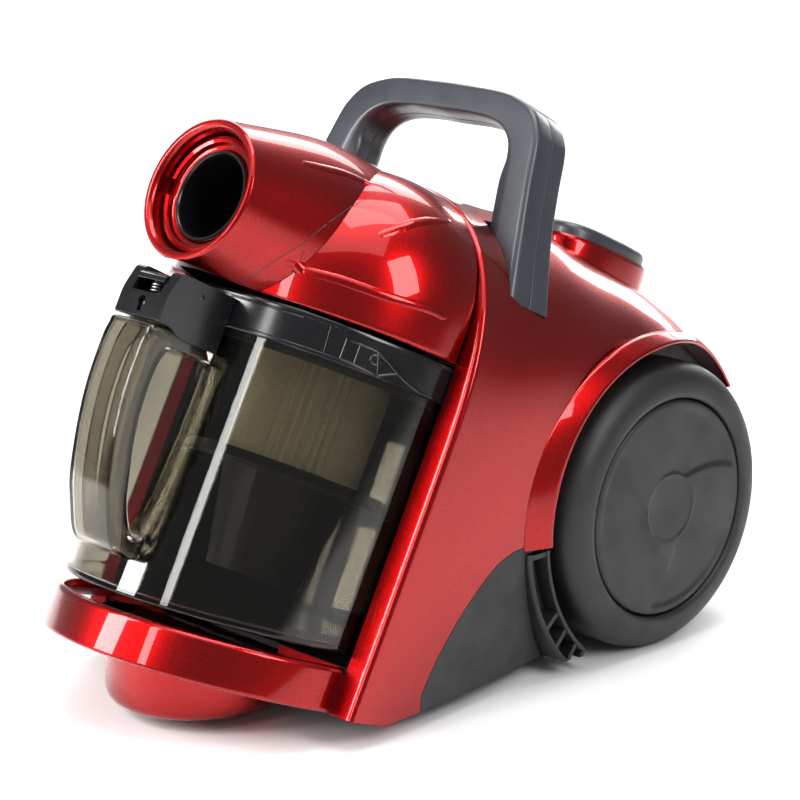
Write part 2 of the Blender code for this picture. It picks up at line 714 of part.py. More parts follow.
def build_caster():
    centre = at(0, CASTER_Y, 0)
    top = 42.0
    dome = [(CASTER_R - 6, 7), (CASTER_R - 1.5, 8.2), (CASTER_R - 0.3, 11.5), (CASTER_R, 60), (0, 60),
            (0, 33), (28, 33), (28, 7)]
    housing = revolve("caster_housing", dome, centre, Z_DIR, X_DIR, 48, (RED, 0.2, 0.3))
    back = block("back", (-90, CASTER_Y + 44, -10), (90, 40, 90))
    combine(housing, [above_plane("slope", TRAY_TOP - 4.8), back])
    combine(housing, [above_plane_disc("ceiling", top)])
    combine(housing, [rod("pin_hole", 3.05, 20, 80, centre, Z_DIR, X_DIR, 16)])
    pin = [(0, 24.2), (4.6, 24.2), (4.6, 25.5), (3.0, 25.5), (3.0, 36), (0, 36)]
    revolve("caster_pin", pin, centre, Z_DIR, X_DIR, 16, (STEEL, 0.3, 1.0))
    fork = block("caster_fork", (-10.5, CASTER_Y - 8, 25.8), (10.5, CASTER_Y + 16, 29.6), (BLACK, 0.4))
    for x in (-10.5, 7.5):
        outline = [(CASTER_Y + 2, 8.5), (CASTER_Y + 14, 8.5), (CASTER_Y + 14, 27), (CASTER_Y - 6, 27)]
        arm = side_prism("arm", outline, x, x + 3)
        combine(fork, [arm], "UNION")
    combine(fork, [rod("hole", 1.55, -20, 20, at(0, CASTER_Y + 8, 11.5), X_DIR, Z_DIR, 16)])
    combine(fork, [rod("hole", 3.1, 20, 40, centre, Z_DIR, X_DIR, 32)])
    wheel = [(1.6, -7), (9, -7), (11.5, -5), (11.5, 5), (9, 7), (1.6, 7)]
    revolve("caster_wheel", wheel, at(0, CASTER_Y + 8, 11.5), X_DIR, Z_DIR, 32, ((0.05, 0.05, 0.05), 0.6))
    rod("caster_axle", 1.5, -10.5, 10.5, at(0, CASTER_Y + 8, 11.5), X_DIR, Z_DIR, 16, (STEEL, 0.3, 1.0))


def above_plane(name, depth):
    """Everything above a tilted base plane."""
    outline = ((-260, base_c(-260, depth)), (160, base_c(160, depth)), (160, 260), (-260, 260))
    ring = [tilt(-200, s, c) for s, c in outline]
    return prism(name, ring, X_DIR * (400 * MM))


def above_plane_disc(name, level):
    return block(name, (-90, -300, level), (90, 0, level + 80))


# ---- dust cup, its lid and what it holds
def cup_room(name, r, high, depth):
    return above_base(name, depth, r, high, 64)


def build_cup():
    cup = cup_room("cup_vessel", CUP_R, LID_LOW - GAP, 0)
    cup.data.materials.append(material("cup_vessel", (0.25, 0.22, 0.15), 0.1, 0.0, 0.4))
    inside = cup_room("inside", CUP_R - 2.6, LID_LOW + 30, 3.0)
    combine(inside, [block("step", (-150, -300, -50), (150, 200, BEVEL_Z + 2.6))])
    combine(cup, [block("low", (-150, -300, -50), (150, 200, BEVEL_Z)), inside])
    combine(cup, [foot_ring()], "UNION")
    lid = [(LID_R - 3.4, LID_LOW), (LID_R, LID_LOW), (LID_R, LID_TOP - 1.5), (LID_R - 1.5, LID_TOP),
           (0, LID_TOP), (0, LID_TOP - 3), (LID_R - 3.4, LID_TOP - 3)]
    lid_ring = revolve("lid_ring", lid, tilt(0, 0, 0), C_DIR, X_DIR, 48, (BLACK, 0.15))
    seal = tube("lid_seal", CUP_R - 3.2, CUP_R - 6.0, LID_LOW - 4, LID_TOP - 3.3, tilt(0, 0, 0), C_DIR,
                X_DIR, 48, (GREY, 0.7))
    return cup, lid_ring, seal


def foot_ring():
    outer = above_base("foot", TRAY_TOP + GAP, 88, 1.0, 48)
    inner = above_base("foot_in", TRAY_TOP - 5, 84, 5.0, 48)
    cut = combine(outer, [inner])
    return combine(cut, [block("low", (-150, -300, -50), (150, 200, BEVEL_Z + 1))])


def build_filter():
    rings = []
    teeth = 40
    low, high = 82.0, LID_TOP - 3.3 - 8
    for c in (low, high):
        ring = []
        for j in range(teeth * 2):
            a = math.pi * j / teeth
            r = 38.0 if j % 2 else 34.0
            ring.append(tilt(r * math.cos(a), r * math.sin(a), c))
        rings.append(ring)
    pleats = loft("pleated_filter", rings, ((0.75, 0.70, 0.55), 0.8))
    combine(pleats, [rod("bore", 22, low - 5, high + 5, tilt(0, 0, 0), C_DIR, X_DIR, 32)])
    top = [(20, high + GAP), (42, high + GAP), (42, LID_TOP - 3 - GAP), (20, LID_TOP - 3 - GAP)]
    revolve("filter_cap", top, tilt(0, 0, 0), C_DIR, X_DIR, 40, (BLACK, 0.4))
    plate = [(0, 77), (55, 77), (58, 74), (60, 74), (60, 76.5), (56, 81.7), (0, 81.7)]
    revolve("filter_plate", plate, tilt(0, 0, 0), C_DIR, X_DIR, 48, (BLACK, 0.4))
    cone = [(0, 20), (26, 20), (36, 76.7), (0, 76.7)]
    revolve("cyclone_cone", cone, tilt(0, 0, 0), C_DIR, X_DIR, 40, (GREY, 0.4))


HANDLE_PATH = [(-116, 10), (-125, 24), (-132, 38), (-138.5, 61), (-142.5, 83), (-143.5, 104), (-141, 120)]
GRIP_PATH = [(-104, 16), (-113, 28), (-119.5, 42), (-125.5, 62), (-129, 83), (-130, 102), (-128, 117)]


def build_cup_handle():
    outer = [(-97.2, 8), (-104, 6.5)] + HANDLE_PATH + [(-141, 124), (-97.2, 124), (-97.2, 114)]
    inner = list(reversed(GRIP_PATH)) + [(-97.2, 22)]
    ring = [tilt(-17, s, c) for s, c in outer + inner]
    return prism("cup_handle", ring, X_DIR * (34 * MM), ((0.25, 0.22, 0.15), 0.1, 0.0, 0.45))


def build_latch():
    block_low, block_high = 124.4, 152.0
    body = tilted_block("latch_block", (-18, -140, block_low), (18, -90, block_high), (BLACK, 0.3))
    combine(body, [above_base("lid_room", -5, LID_R + GAP, 200, 64)])
    combine(body, [tilted_block("slot", (-11, -150, 138), (11, -112, 170))])
    combine(body, [rod("pin_hole", 1.55, -30, 30, tilt(0, -118, 145), X_DIR, C_DIR, 12)])
    lever = tilted_block("latch_lever", (-10.5, -139, 144.5), (10.5, -113.5, 148.5), (BLACK, 0.3))
    boss = rod("boss", 3.6, -10.5, 10.5, tilt(0, -118, 145), X_DIR, C_DIR, 16)
    combine(lever, [boss], "UNION")
    combine(lever, [rod("pin_hole", 1.6, -30, 30, tilt(0, -118, 145), X_DIR, C_DIR, 12)])
    rod("latch_pin", 1.5, -16, 16, tilt(0, -118, 145), X_DIR, C_DIR, 12, (STEEL, 0.3, 1.0))
    spring("latch_spring", tilt(0, -133, 0), C_DIR, 3.0, 0.5, 138.3, 144.2, 3)


# ---- inside of the body
def build_bay():
    low = FLOOR_Z + WALL + GAP
    wall = above_base("bay_liner", TRAY_TOP - WALL, BAY_R + WALL, HEAD_LOW + 3.2, 64)
    wall.data.materials.append(material("bay_liner", GREY, 0.6))
    room = above_base("room", TRAY_TOP, BAY_R, HEAD_LOW, 64)
    combine(room, [block("step", (-150, -300, -50), (150, 200, BEVEL_Z - GAP))])
    combine(wall, [room, tilted_block("front", (-150, -150, -80), (150, FRONT_S + WALL + GAP, 250))])
    combine(wall, [block("low", (-150, -300, -50), (150, 200, low))])
    combine(wall, [rod("air", 30, 150, 180, tilt(0, 40, 0), C_DIR, X_DIR, 32)])
    return wall


def build_motor():
    y, z = 0.0, 104.0
    centre = at(-34, y, z)
    can = tube("motor_housing", 43, 40, 52, 118, centre, Y_DIR, X_DIR, 40, (GREY, 0.5))
    back = rod("back", 43, 116, 119, centre, Y_DIR, X_DIR, 40)
    combine(can, [back], "UNION")
    combine(can, [rod("hole", 4.1, 100, 130, centre, Y_DIR, X_DIR, 32)])
    shaft = rod("motor_shaft", 4.0, 47, 124, centre, Y_DIR, X_DIR, 16, (STEEL, 0.3, 1.0))
    rotor = tube("rotor", 24, 4.0 + GAP, 70, 108, centre, Y_DIR, X_DIR, 32, ((0.5, 0.25, 0.1), 0.4, 1.0))
    fan = rod("impeller", 36, 56, 59, centre, Y_DIR, X_DIR, 36, (STEEL, 0.35, 1.0))
    for k in range(8):
        a = math.pi * k / 4
        spin = Matrix.Rotation(a, 4, Y_DIR)
        ring = []
        for x, depth in ((8, 59.0), (35, 59.0), (35, 64.0), (8, 64.0)):
            ring.append(centre + spin @ Vector((x * MM, depth * MM, 0)))
        vane = prism("vane", [p - Y_DIR * MM for p in ring], spin @ Vector((0, 0, 1.6 * MM)))
        combine(fan, [vane], "UNION")
    combine(fan, [rod("hole", 4.0 + GAP, 40, 80, centre, Y_DIR, X_DIR, 16)])
    return can, shaft, rotor, fan


def build_reel():
    centre = at(0, 98, 100)
    profile = [(7.0, 26), (58, 26), (58, 28), (24, 28), (24, 60), (58, 60), (58, 62), (7.0, 62)]
    revolve("cord_reel", profile, centre, X_DIR, Z_DIR, 28, (BLACK, 0.5))
    axle = [(0, 18), (10, 18), (10, 24), (6.9, 24), (6.9, 66), (0, 66)]
    revolve("reel_axle", axle, centre, X_DIR, Z_DIR, 24, (GREY, 0.5))


# ---- rear face: exhaust grille, its filter and the cord outlet
REAR_LOW = (188.0, 42.0)       # (y, z) of the grille's lower and upper edge on the rear face
REAR_HIGH = (202.0, 83.0)
REAR_ANGLE = math.atan2(REAR_HIGH[1] - REAR_LOW[1], REAR_HIGH[0] - REAR_LOW[0])
REAR_LENGTH = math.hypot(REAR_HIGH[0] - REAR_LOW[0], REAR_HIGH[1] - REAR_LOW[1])
GRILLE_X = 50.0
CORD_X = 63.0
CORD_NECK_R = 5.5


def rear_slab(name, half, low, high, inner, outer, look=None):
    """Slab parallel to the rear face: from low to high along it, inner to outer across it."""
    uy, uz = math.cos(REAR_ANGLE), math.sin(REAR_ANGLE)
    outline = []
    for along, out in ((low, inner), (high, inner), (high, outer), (low, outer)):
        outline.append((REAR_LOW[0] + uy * along + uz * out, REAR_LOW[1] + uz * along - uy * out))
    return side_prism(name, outline, -half, half, look)


def exhaust_cut(grow):
    return rear_slab("exhaust_cut", GRILLE_X + grow, -grow, REAR_LENGTH + grow, -30, 30)


def build_exhaust():
    grille = rear_slab("exhaust_grille", GRILLE_X, 0, REAR_LENGTH, -2.6, 0.4, (BLACK, 0.5))
    for k in range(6):
        low = 4.0 + 6.4 * k
        combine(grille, [rear_slab("slot", GRILLE_X - 5, low, low + 3.2, -10, 10)])
    rear_slab("exhaust_filter", GRILLE_X - 4, 3, REAR_LENGTH - 3, -12.0, -2.9, ((0.6, 0.6, 0.58), 0.9))
    return grille


def cord_rod(name, r, low, high):
    uy, uz = math.cos(REAR_ANGLE), math.sin(REAR_ANGLE)
    middle = 0.45 * REAR_LENGTH
    centre = at(CORD_X, REAR_LOW[0] + uy * middle, REAR_LOW[1] + uz * middle)
    return rod(name, r, low, high, centre, Vector((0, uz, -uy)), X_DIR, 24)


def build_cord_outlet():
    gland = cord_rod("cord_outlet", CORD_NECK_R, -6, 2.0)
    gland.data.materials.append(material("cord_outlet", BLACK, 0.5))
    combine(gland, [cord_rod("flange", 9.0, 1.4, 3.6)], "UNION")
    return combine(gland, [cord_rod("bore", 3.6, -20, 20)])


# ---- joint axes: the pieces that turn or slide get their origin there
SWIVEL = at(0, CASTER_Y, 30)
ROLLER = at(0, CASTER_Y + 8, 11.5)
LATCH_PIVOT = tilt(0, -118, 145)
MOTOR_AXIS = at(-34, 79, 104)
REEL_AXIS = at(44, 98, 100)
PIVOTS = {
    "caster_fork": SWIVEL, "caster_axle": ROLLER, "caster_wheel": ROLLER,
    "latch_lever": LATCH_PIVOT, "latch_pin": LATCH_PIVOT,
    "motor_shaft": MOTOR_AXIS, "rotor": MOTOR_AXIS, "impeller": MOTOR_AXIS, "cord_reel": REEL_AXIS,
}
CUP_NODES = ("cup_vessel", "lid_ring", "lid_seal", "pleated_filter", "filter_cap", "filter_plate",
             "cyclone_cone", "cup_handle", "latch_block")


def move_origin(name, point):
    obj = bpy.data.objects[name]
    obj.data.transform(Matrix.Translation(-point))
    obj.location = point


def set_origins():
    for name, point in PIVOTS.items():
        move_origin(name, point)
    for name in CUP_NODES:
        move_origin(name, tilt(0, 0, 0))
    for side, word, label in ((-1, "left", "rewind"), (1, "right", "power")):
        for piece in ("tyre", "wheel_cap", "wheel_hub"):
            move_origin(f"{piece}_{word}", at(side * 108, WHEEL_Y, WHEEL_R))
        for piece in ("pedal", "spring"):
            move_origin(f"{label}_{piece}", at(side * PEDAL_X, PEDAL_Y, PEDAL_Z))


def build_all():
    build_shell()
    build_chassis()
    for side, word in ((-1, "left"), (1, "right")):
        fender(f"fender_{word}", side)
        build_wheel(side, word)
        build_well(side, word)
        build_guard(side, word)
    build_handle()
    build_pedal(-1, "rewind")
    build_pedal(1, "power")
    build_head()
    build_tray()
    build_caster()
    build_cup()
    build_filter()
    build_cup_handle()
    build_latch()
    build_bay()
    build_motor()
    build_reel()
    build_exhaust()
    build_cord_outlet()
    set_origins()


build_all()
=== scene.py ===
"""The finished looks of a canister vacuum cleaner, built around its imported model.

Lengths are millimetres until at() or tilt() turns them into metres of the model's frame.
+Z is up and the dust cup faces -Y. The cup leans back: its frame is (x, s, c), where c runs
up the cup's axis and s runs to the rear.
"""
import json
from math import asin, atan2, copysign, cos, degrees, hypot, pi, radians, sin, sqrt

import bmesh
import bpy
from mathutils import Matrix, Vector
from mathutils.bvhtree import BVHTree

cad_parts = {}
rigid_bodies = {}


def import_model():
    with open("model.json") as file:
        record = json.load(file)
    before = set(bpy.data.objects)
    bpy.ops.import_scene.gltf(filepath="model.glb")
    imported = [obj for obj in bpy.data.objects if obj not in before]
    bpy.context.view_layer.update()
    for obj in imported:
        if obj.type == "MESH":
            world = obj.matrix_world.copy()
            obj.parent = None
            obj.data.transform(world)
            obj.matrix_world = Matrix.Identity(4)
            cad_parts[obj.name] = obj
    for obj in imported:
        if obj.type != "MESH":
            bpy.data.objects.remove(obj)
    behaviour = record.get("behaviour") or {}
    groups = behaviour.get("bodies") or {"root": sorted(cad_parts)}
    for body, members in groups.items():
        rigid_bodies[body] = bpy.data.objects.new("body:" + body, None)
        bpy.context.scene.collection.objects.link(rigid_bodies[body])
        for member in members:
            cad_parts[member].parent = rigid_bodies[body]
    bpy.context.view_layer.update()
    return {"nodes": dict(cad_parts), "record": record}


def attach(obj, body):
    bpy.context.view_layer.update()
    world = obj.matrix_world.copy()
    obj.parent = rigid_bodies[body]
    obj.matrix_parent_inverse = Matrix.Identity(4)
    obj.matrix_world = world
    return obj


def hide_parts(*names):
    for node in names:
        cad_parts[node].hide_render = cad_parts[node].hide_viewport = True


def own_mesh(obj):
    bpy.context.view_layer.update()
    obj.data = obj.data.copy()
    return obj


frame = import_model()

MM = 0.001
SHIFT = 11.95                  # the model's offset along Y, mm
TILT = radians(28.2)      # lean of the cup's axis
BASE_TILT = radians(21.1)  # lean of the tray and of the cup's underside
LEAN = TILT - BASE_TILT
SIN, COS = sin(TILT), cos(TILT)
CUP_Y, CUP_Z = -123.0, 43.7    # centre of the cup's underside
CUP_R = 96.3
LID_R, LID_LOW, LID_TOP = 97.5, 137.0, 157.1
HEAD_LOW = 158.8
BAY_R = 98.7
FRONT_S = -8.0                 # front face of the pillars
TRAY_R, TRAY_TOP, TRAY_LOW = 97.3, -7.2, -31.3
FLOOR_Z = 9.0
BEVEL_Z = 15.7
WHEEL_Y, WHEEL_R, WHEEL_X = 92.8, 83.0, 123.4
TYRE_IN, WELL_X, WELL_R = 92.0, 87.6, 93.0
ARM_START, ARM_BEND, ARM_SPAN = 36.0, -46.0, 92.0    # the wheel cap's arms, degrees
CASTER_Y, CASTER_R = -152.4, 49.6
FILTER_R = 38.4
BAYONET_AT = -36.0             # where the bayonet window sits round the lid, degrees from +X
LATCH_S, LATCH_C = -118.0, 145.0    # pin of the thumb lever
PORT_S, PORT_C = -131.6, 197.3
HANDLE_FRONT, HANDLE_REAR, HANDLE_LOW = 13.7, 41.0, 203.0
INNER_EDGE = 8.5               # how far the grip's inner side swells past its front face
FOOT_FLARE = 6.0               # how far the legs widen at their feet
HANDLE_BEND = 297.0            # height where the inner side's swell has faded out
SCREW_X, SCREW_C = 80.0, 236.0
PEDAL_X, PEDAL_Y, PEDAL_Z = 42.0, 111.0, 213.5
PEDAL_SLOPE = radians(25)
WALL = 3.0
SEAM = 0.3
SIDES = ((-1, "left"), (1, "right"))
PEDALS = ((-1, "rewind"), (1, "power"))

X_DIR, Z_DIR = Vector((1, 0, 0)), Vector((0, 0, 1))
C_DIR, S_DIR = Vector((0, SIN, COS)), Vector((0, COS, -SIN))


def at(x, y, z):
    return Vector((x * MM, (y + SHIFT) * MM, z * MM))


def tilt(x, s, c):
    return at(x, CUP_Y + s * COS + c * SIN, CUP_Z - s * SIN + c * COS)


def smooth_step(t):
    t = min(1.0, max(0.0, t))
    return t * t * (3 - 2 * t)


def base_c(s, depth):
    """Height at s of the plane that lies `depth` above the cup's sloping underside."""
    return (depth + s * sin(LEAN)) / cos(LEAN)


# ---------------------------------------------------------------- materials
class Nodes:
    """A material's node tree with a Principled shader and object coordinates."""

    def __init__(self, name):
        self.material = bpy.data.materials.new(name)
        self.material.use_nodes = True
        self.tree = self.material.node_tree
        self.shader = self.tree.nodes["Principled BSDF"]
        self.place = self.tree.nodes.new("ShaderNodeTexCoord").outputs["Object"]

    def link(self, a, b):
        self.tree.links.new(a, b)

    def add(self, kind, **values):
        """New node of this kind; sockets among the values are linked, other values are stored."""
        node = self.tree.nodes.new("ShaderNode" + kind)
        for key, value in values.items():
            socket = node.inputs[key.replace("_", " ")]
            if isinstance(value, bpy.types.NodeSocket):
                self.link(value, socket)
            else:
                socket.default_value = value
        return node

    def noise(self, scale, detail=3.0):
        node = self.add("TexNoise", Scale=scale, Detail=detail, Roughness=0.55, Vector=self.place)
        return node.outputs["Fac"]

    def spread(self, value, low, high, start=0.3, end=0.7):
        node = self.add("MapRange", From_Min=start, From_Max=end, To_Min=low, To_Max=high, Value=value)
        return node.outputs["Result"]

    def ramp(self, value, first, last):
        node = self.add("ValToRGB", Fac=value)
        for stop, place, colour in zip(node.color_ramp.elements, (0.3, 0.7), (first, last)):
            stop.position = place
            stop.color = (*colour, 1)
        return node.outputs["Color"]

    def bump(self, height, distance, strength=1.0):
        return self.add("Bump", Strength=strength, Distance=distance, Height=height).outputs["Normal"]

    def finish(self, colour, rough, normal, **values):
        """Wires colour, roughness and relief, sets the other inputs and gives the material."""
        self.link(colour, self.shader.inputs["Base Color"])
        if rough is not None:
            self.link(rough, self.shader.inputs["Roughness"])
        if normal is not None:
            self.link(normal, self.shader.inputs["Normal"])
        for key, value in values.items():
            self.shader.inputs[key.replace("_", " ")].default_value = value
        return self.material


def scaled(colour, k):
    return tuple(min(1.0, c * k) for c in colour)


def red_lacquer():
    """Candy metallic red under clear gloss: fine flakes, slow tone drift and orange peel."""
    m = Nodes("red_lacquer")
    flake = m.add("TexVoronoi", Scale=2600, Vector=m.place).outputs["Color"]
    tone = m.ramp(m.noise(9, 2.0), (0.30, 0.002, 0.0025), (0.37, 0.003, 0.004))
    mix = m.tree.nodes.new("ShaderNodeMix")
    mix.data_type = "RGBA"
    mix.blend_type = "MULTIPLY"
    mix.inputs["Factor"].default_value = 0.35
    m.link(tone, mix.inputs[6])
    m.link(m.ramp(m.noise(1500, 2.0), (0.62, 0.55, 0.55), (1.0, 0.9, 0.9)), mix.inputs[7])
    return m.finish(mix.outputs[2], m.spread(flake, 0.24, 0.42, 0.0, 1.0),
                    m.bump(m.noise(70, 1.0), 0.00003, 0.5), Metallic=1.0, Coat_Weight=0.9,
                    Coat_Roughness=0.03, Coat_IOR=1.38)


def moulded(name, colour, rough, grain=900, depth=0.00004, coat=0.0, tone=0.2, metal=0.0):
    """Moulded plastic, rubber or cast metal: fine grain, uneven tone and uneven gloss."""
    m = Nodes(name)
    base = m.ramp(m.noise(24, 4.0), scaled(colour, 1 - tone), scaled(colour, 1 + tone))
    gloss = m.spread(m.noise(60), rough * 0.85, min(1.0, rough * 1.15))
    return m.finish(base, gloss, m.bump(m.noise(grain), depth), Metallic=metal, Coat_Weight=coat,
                    Coat_Roughness=0.06)


def clear_smoke(name, tint, rough=0.03):
    """Smoke-tinted clear plastic with faint flow marks."""
    m = Nodes(name)
    base = m.ramp(m.noise(14), scaled(tint, 0.93), scaled(tint, 1.05))
    gloss = m.spread(m.noise(40, 2.0), rough * 0.7, rough * 1.5)
    return m.finish(base, gloss, m.bump(m.noise(30, 1.0), 0.00003, 0.3), Transmission_Weight=1.0, IOR=1.42)


def paper():
    """Pleated filter paper with fibres."""
    m = Nodes("filter_paper")
    base = m.ramp(m.noise(700, 5.0), (0.74, 0.68, 0.52), (0.92, 0.87, 0.72))
    return m.finish(base, m.spread(m.noise(300), 0.75, 0.95), m.bump(m.noise(1300, 4.0), 0.0001),
                    Sheen_Weight=0.2)


def steel():
    """Ground steel with fine scratches along X."""
    m = Nodes("ground_steel")
    m.place = m.add("Mapping", Scale=(1, 40, 40), Vector=m.place).outputs["Vector"]
    lines = m.noise(120, 4.0)
    base = m.ramp(lines, (0.42, 0.43, 0.45), (0.66, 0.67, 0.69))
    return m.finish(base, m.spread(lines, 0.22, 0.38), None, Metallic=1.0)


def felt():
    """Filter felt with coarse fibres."""
    m = Nodes("felt_pad")
    base = m.ramp(m.noise(500, 5.0), (0.42, 0.42, 0.41), (0.66, 0.66, 0.64))
    return m.finish(base, m.spread(m.noise(200), 0.85, 1.0), m.bump(m.noise(900, 5.0), 0.0003),
                    Sheen_Weight=0.4)


RED = red_lacquer()
SLATE = moulded("slate_satin", (0.024, 0.028, 0.036), 0.40, 1400, 0.00002, 0.15, 0.1)
GLOSS = moulded("black_gloss", (0.005, 0.005, 0.006), 0.17, 300, 0.00001, 0.0, 0.15)
MATTE = moulded("black_matte", (0.009, 0.009, 0.010), 0.5, 1100, 0.00004)
CHASSIS = moulded("chassis_grey", (0.014, 0.0145, 0.0155), 0.60, 1600, 0.00007, 0.0, 0.12)
RUBBER = moulded("tyre_rubber", (0.008, 0.008, 0.009), 0.50, 1900, 0.00005, 0.0, 0.15)
CAP = moulded("wheel_cap_charcoal", (0.011, 0.0115, 0.0125), 0.52, 1700, 0.00005, 0.0, 0.12)
SMOKE = clear_smoke("smoke_clear", (0.46, 0.435, 0.37))
PAPER = paper()
STEEL = steel()
FELT = felt()
SEAL = moulded("seal_rubber", (0.03, 0.03, 0.03), 0.7, 1500, 0.00005)
COPPER = moulded("copper_winding", (0.50, 0.22, 0.08), 0.35, 500, 0.0001, 0.0, 0.3, 1.0)
ALLOY = moulded("cast_alloy", (0.55, 0.55, 0.57), 0.4, 900, 0.00005, 0.0, 0.1, 1.0)


# ---------------------------------------------------------------- mesh helpers
WELD = 2e-6                    # points this close become one, metres


def circle(steps):
    return [2 * pi * j / steps for j in range(steps)]


def corners(low, high):
    return (low[0], low[1]), (high[0], low[1]), (high[0], high[1]), (low[0], high[1])


def make(name, points, faces, look, angle=32):
    mesh = bpy.data.meshes.new(name)
    mesh.from_pydata([tuple(p) for p in points], [], faces)
    bm = bmesh.new()
    bm.from_mesh(mesh)
    bmesh.ops.remove_doubles(bm, verts=bm.verts, dist=WELD)
    bmesh.ops.recalc_face_normals(bm, faces=bm.faces)
    bm.to_mesh(mesh)
    bm.free()
    obj = bpy.data.objects.new(name, mesh)
    bpy.context.scene.collection.objects.link(obj)
    mesh.materials.append(look)
    soften(obj, angle)
    return obj


def soften(obj, angle=32):
    obj.data.shade_smooth()
    obj.data.set_sharp_from_angle(angle=radians(angle))


def loft(name, rings, look, caps=True, closed=False, angle=32):
    """Surface through rings of equal length; `closed` joins the last ring to the first."""
    n = len(rings[0])
    points = [p for ring in rings for p in ring]
    faces = []
    count = len(rings)
    for i in range(count if closed else count - 1):
        a, b = i * n, ((i + 1) % count) * n
        for j in range(n):
            k = (j + 1) % n
            faces.append((a + j, a + k, b + k, b + j))
    if caps and not closed:
        faces.append(tuple(range(n)))
        faces.append(tuple((count - 1) * n + j for j in range(n)))
    return make(name, points, faces, look, angle)


def revolve(name, profile, centre, axis, side, steps, look, angle=32):
    """Turns a closed (radius, height) profile about an axis."""
    axis, side = axis.normalized(), side.normalized()
    other = axis.cross(side)
    rings = []
    for r, h in profile:
        level = centre + axis * (h * MM)
        rings.append([level + (side * cos(a) + other * sin(a)) * (r * MM) for a in circle(steps)])
    n = len(rings)
    faces = []
    for i in range(n):
        k = (i + 1) % n
        if profile[i][0] == 0 and profile[k][0] == 0:
            continue
        for j in range(steps):
            m = (j + 1) % steps
            faces.append((i * steps + j, i * steps + m, k * steps + m, k * steps + j))
    return make(name, [p for ring in rings for p in ring], faces, look, angle)


def rounded(profile, radius, steps=5):
    """Rounds the corners of a closed profile; `radius` is one number or one for each corner."""
    out = []
    n = len(profile)
    for i, (x, y) in enumerate(profile):
        r = radius[i] if isinstance(radius, (list, tuple)) else radius
        (ax, ay), (bx, by) = profile[i - 1], profile[(i + 1) % n]
        ua, ub = Vector((ax - x, ay - y)), Vector((bx - x, by - y))
        if r <= 0 or ua.length < 1e-9 or ub.length < 1e-9:
            out.append((x, y))
            continue
        cut = min(r, 0.45 * ua.length, 0.45 * ub.length)
        corner = Vector((x, y))
        p, q = corner + ua.normalized() * cut, corner + ub.normalized() * cut
        for k in range(steps + 1):
            t = k / steps
            v = p * (1 - t) ** 2 + corner * (2 * t * (1 - t)) + q * t ** 2
            out.append((v.x, v.y))
    return out


def prism(name, outline, vector, look):
    return loft(name, [outline, [p + vector for p in outline]], look)


def apply_all(obj):
    graph = bpy.context.evaluated_depsgraph_get()
    graph.update()
    mesh = bpy.data.meshes.new_from_object(obj.evaluated_get(graph))
    obj.modifiers.clear()
    obj.data = mesh
    bm = bmesh.new()
    bm.from_mesh(mesh)
    bmesh.ops.remove_doubles(bm, verts=bm.verts, dist=WELD)
    bmesh.ops.dissolve_degenerate(bm, edges=bm.edges, dist=WELD)
    bm.to_mesh(mesh)
    bm.free()


def combine(obj, tools, how="DIFFERENCE", solver="EXACT"):
    """Cuts, joins or intersects with each tool and removes the tools."""
    for tool in tools:
        mod = obj.modifiers.new("cut", "BOOLEAN")
        mod.operation = how
        mod.solver = solver
        mod.object = tool
        apply_all(obj)
        bpy.data.objects.remove(tool, do_unlink=True)
    return obj


def bevel(obj, width):
    mod = obj.modifiers.new("bevel", "BEVEL")
    mod.width = width * MM
    mod.segments = 3
    mod.limit_method = "ANGLE"
    mod.angle_limit = radians(30)
    apply_all(obj)
    soften(obj, 40)
    even_normals(obj)


def even_normals(obj):
    mod = obj.modifiers.new("even_normals", "WEIGHTED_NORMAL")
    mod.keep_sharp = True
    mod.weight = 80


def block(name, low, high):
    ring = [at(x, y, low[2]) for x, y in corners(low, high)]
    return prism(name, ring, Vector((0, 0, (high[2] - low[2]) * MM)), MATTE)


def tilted_block(name, low, high):
    ring = [tilt(x, s, low[2]) for x, s in corners(low, high)]
    return prism(name, ring, C_DIR * ((high[2] - low[2]) * MM), MATTE)


def side_prism(name, outline, x_low, x_high):
    ring = [at(x_low, y, z) for y, z in outline]
    return prism(name, ring, Vector(((x_high - x_low) * MM, 0, 0)), MATTE)


def rod(name, r, low, high, centre, axis, side, steps=64):
    return revolve(name, [(0, low), (r, low), (r, high), (0, high)], centre, axis, side, steps, MATTE)


def curve_at(values, t):
    """Catmull-Rom interpolation of a list of number tuples at t in 0..1."""
    n = len(values) - 1
    i = min(int(t * n), n - 1)
    u = t * n - i
    a, b, c, d = (values[max(0, min(n, k))] for k in (i - 1, i, i + 1, i + 2))
    out = []
    for p, q, r, s in zip(a, b, c, d):
        square, cube = 2 * p - 5 * q + 4 * r - s, 3 * q - p - 3 * r + s
        out.append(0.5 * (2 * q + (r - p) * u + square * u * u + cube * u ** 3))
    return out


def ride(obj, body, slot, *nodes):
    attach(obj, body)
    if nodes:
        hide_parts(*nodes)
    return obj


def seat(obj, angle, slot, node):
    """Smooths a piece of the housing with even normals and puts it in place of its node."""
    soften(obj, angle)
    even_normals(obj)
    ride(obj, "housing", slot, node)


def below(height):
    """Cutter for all that lies under this height."""
    return block("below", (-150, -300, -50), (150, 200, height))


# ---------------------------------------------------------------- body form
RIM_R = 4.5                    # rounding of the body's front rim


def front_section(s, top_c):
    c_low = (FLOOR_Z - CUP_Z + s * SIN) / COS
    y = CUP_Y + s * COS
    return y + c_low * SIN, FLOOR_Z, y + top_c * SIN, CUP_Z - s * SIN + top_c * COS


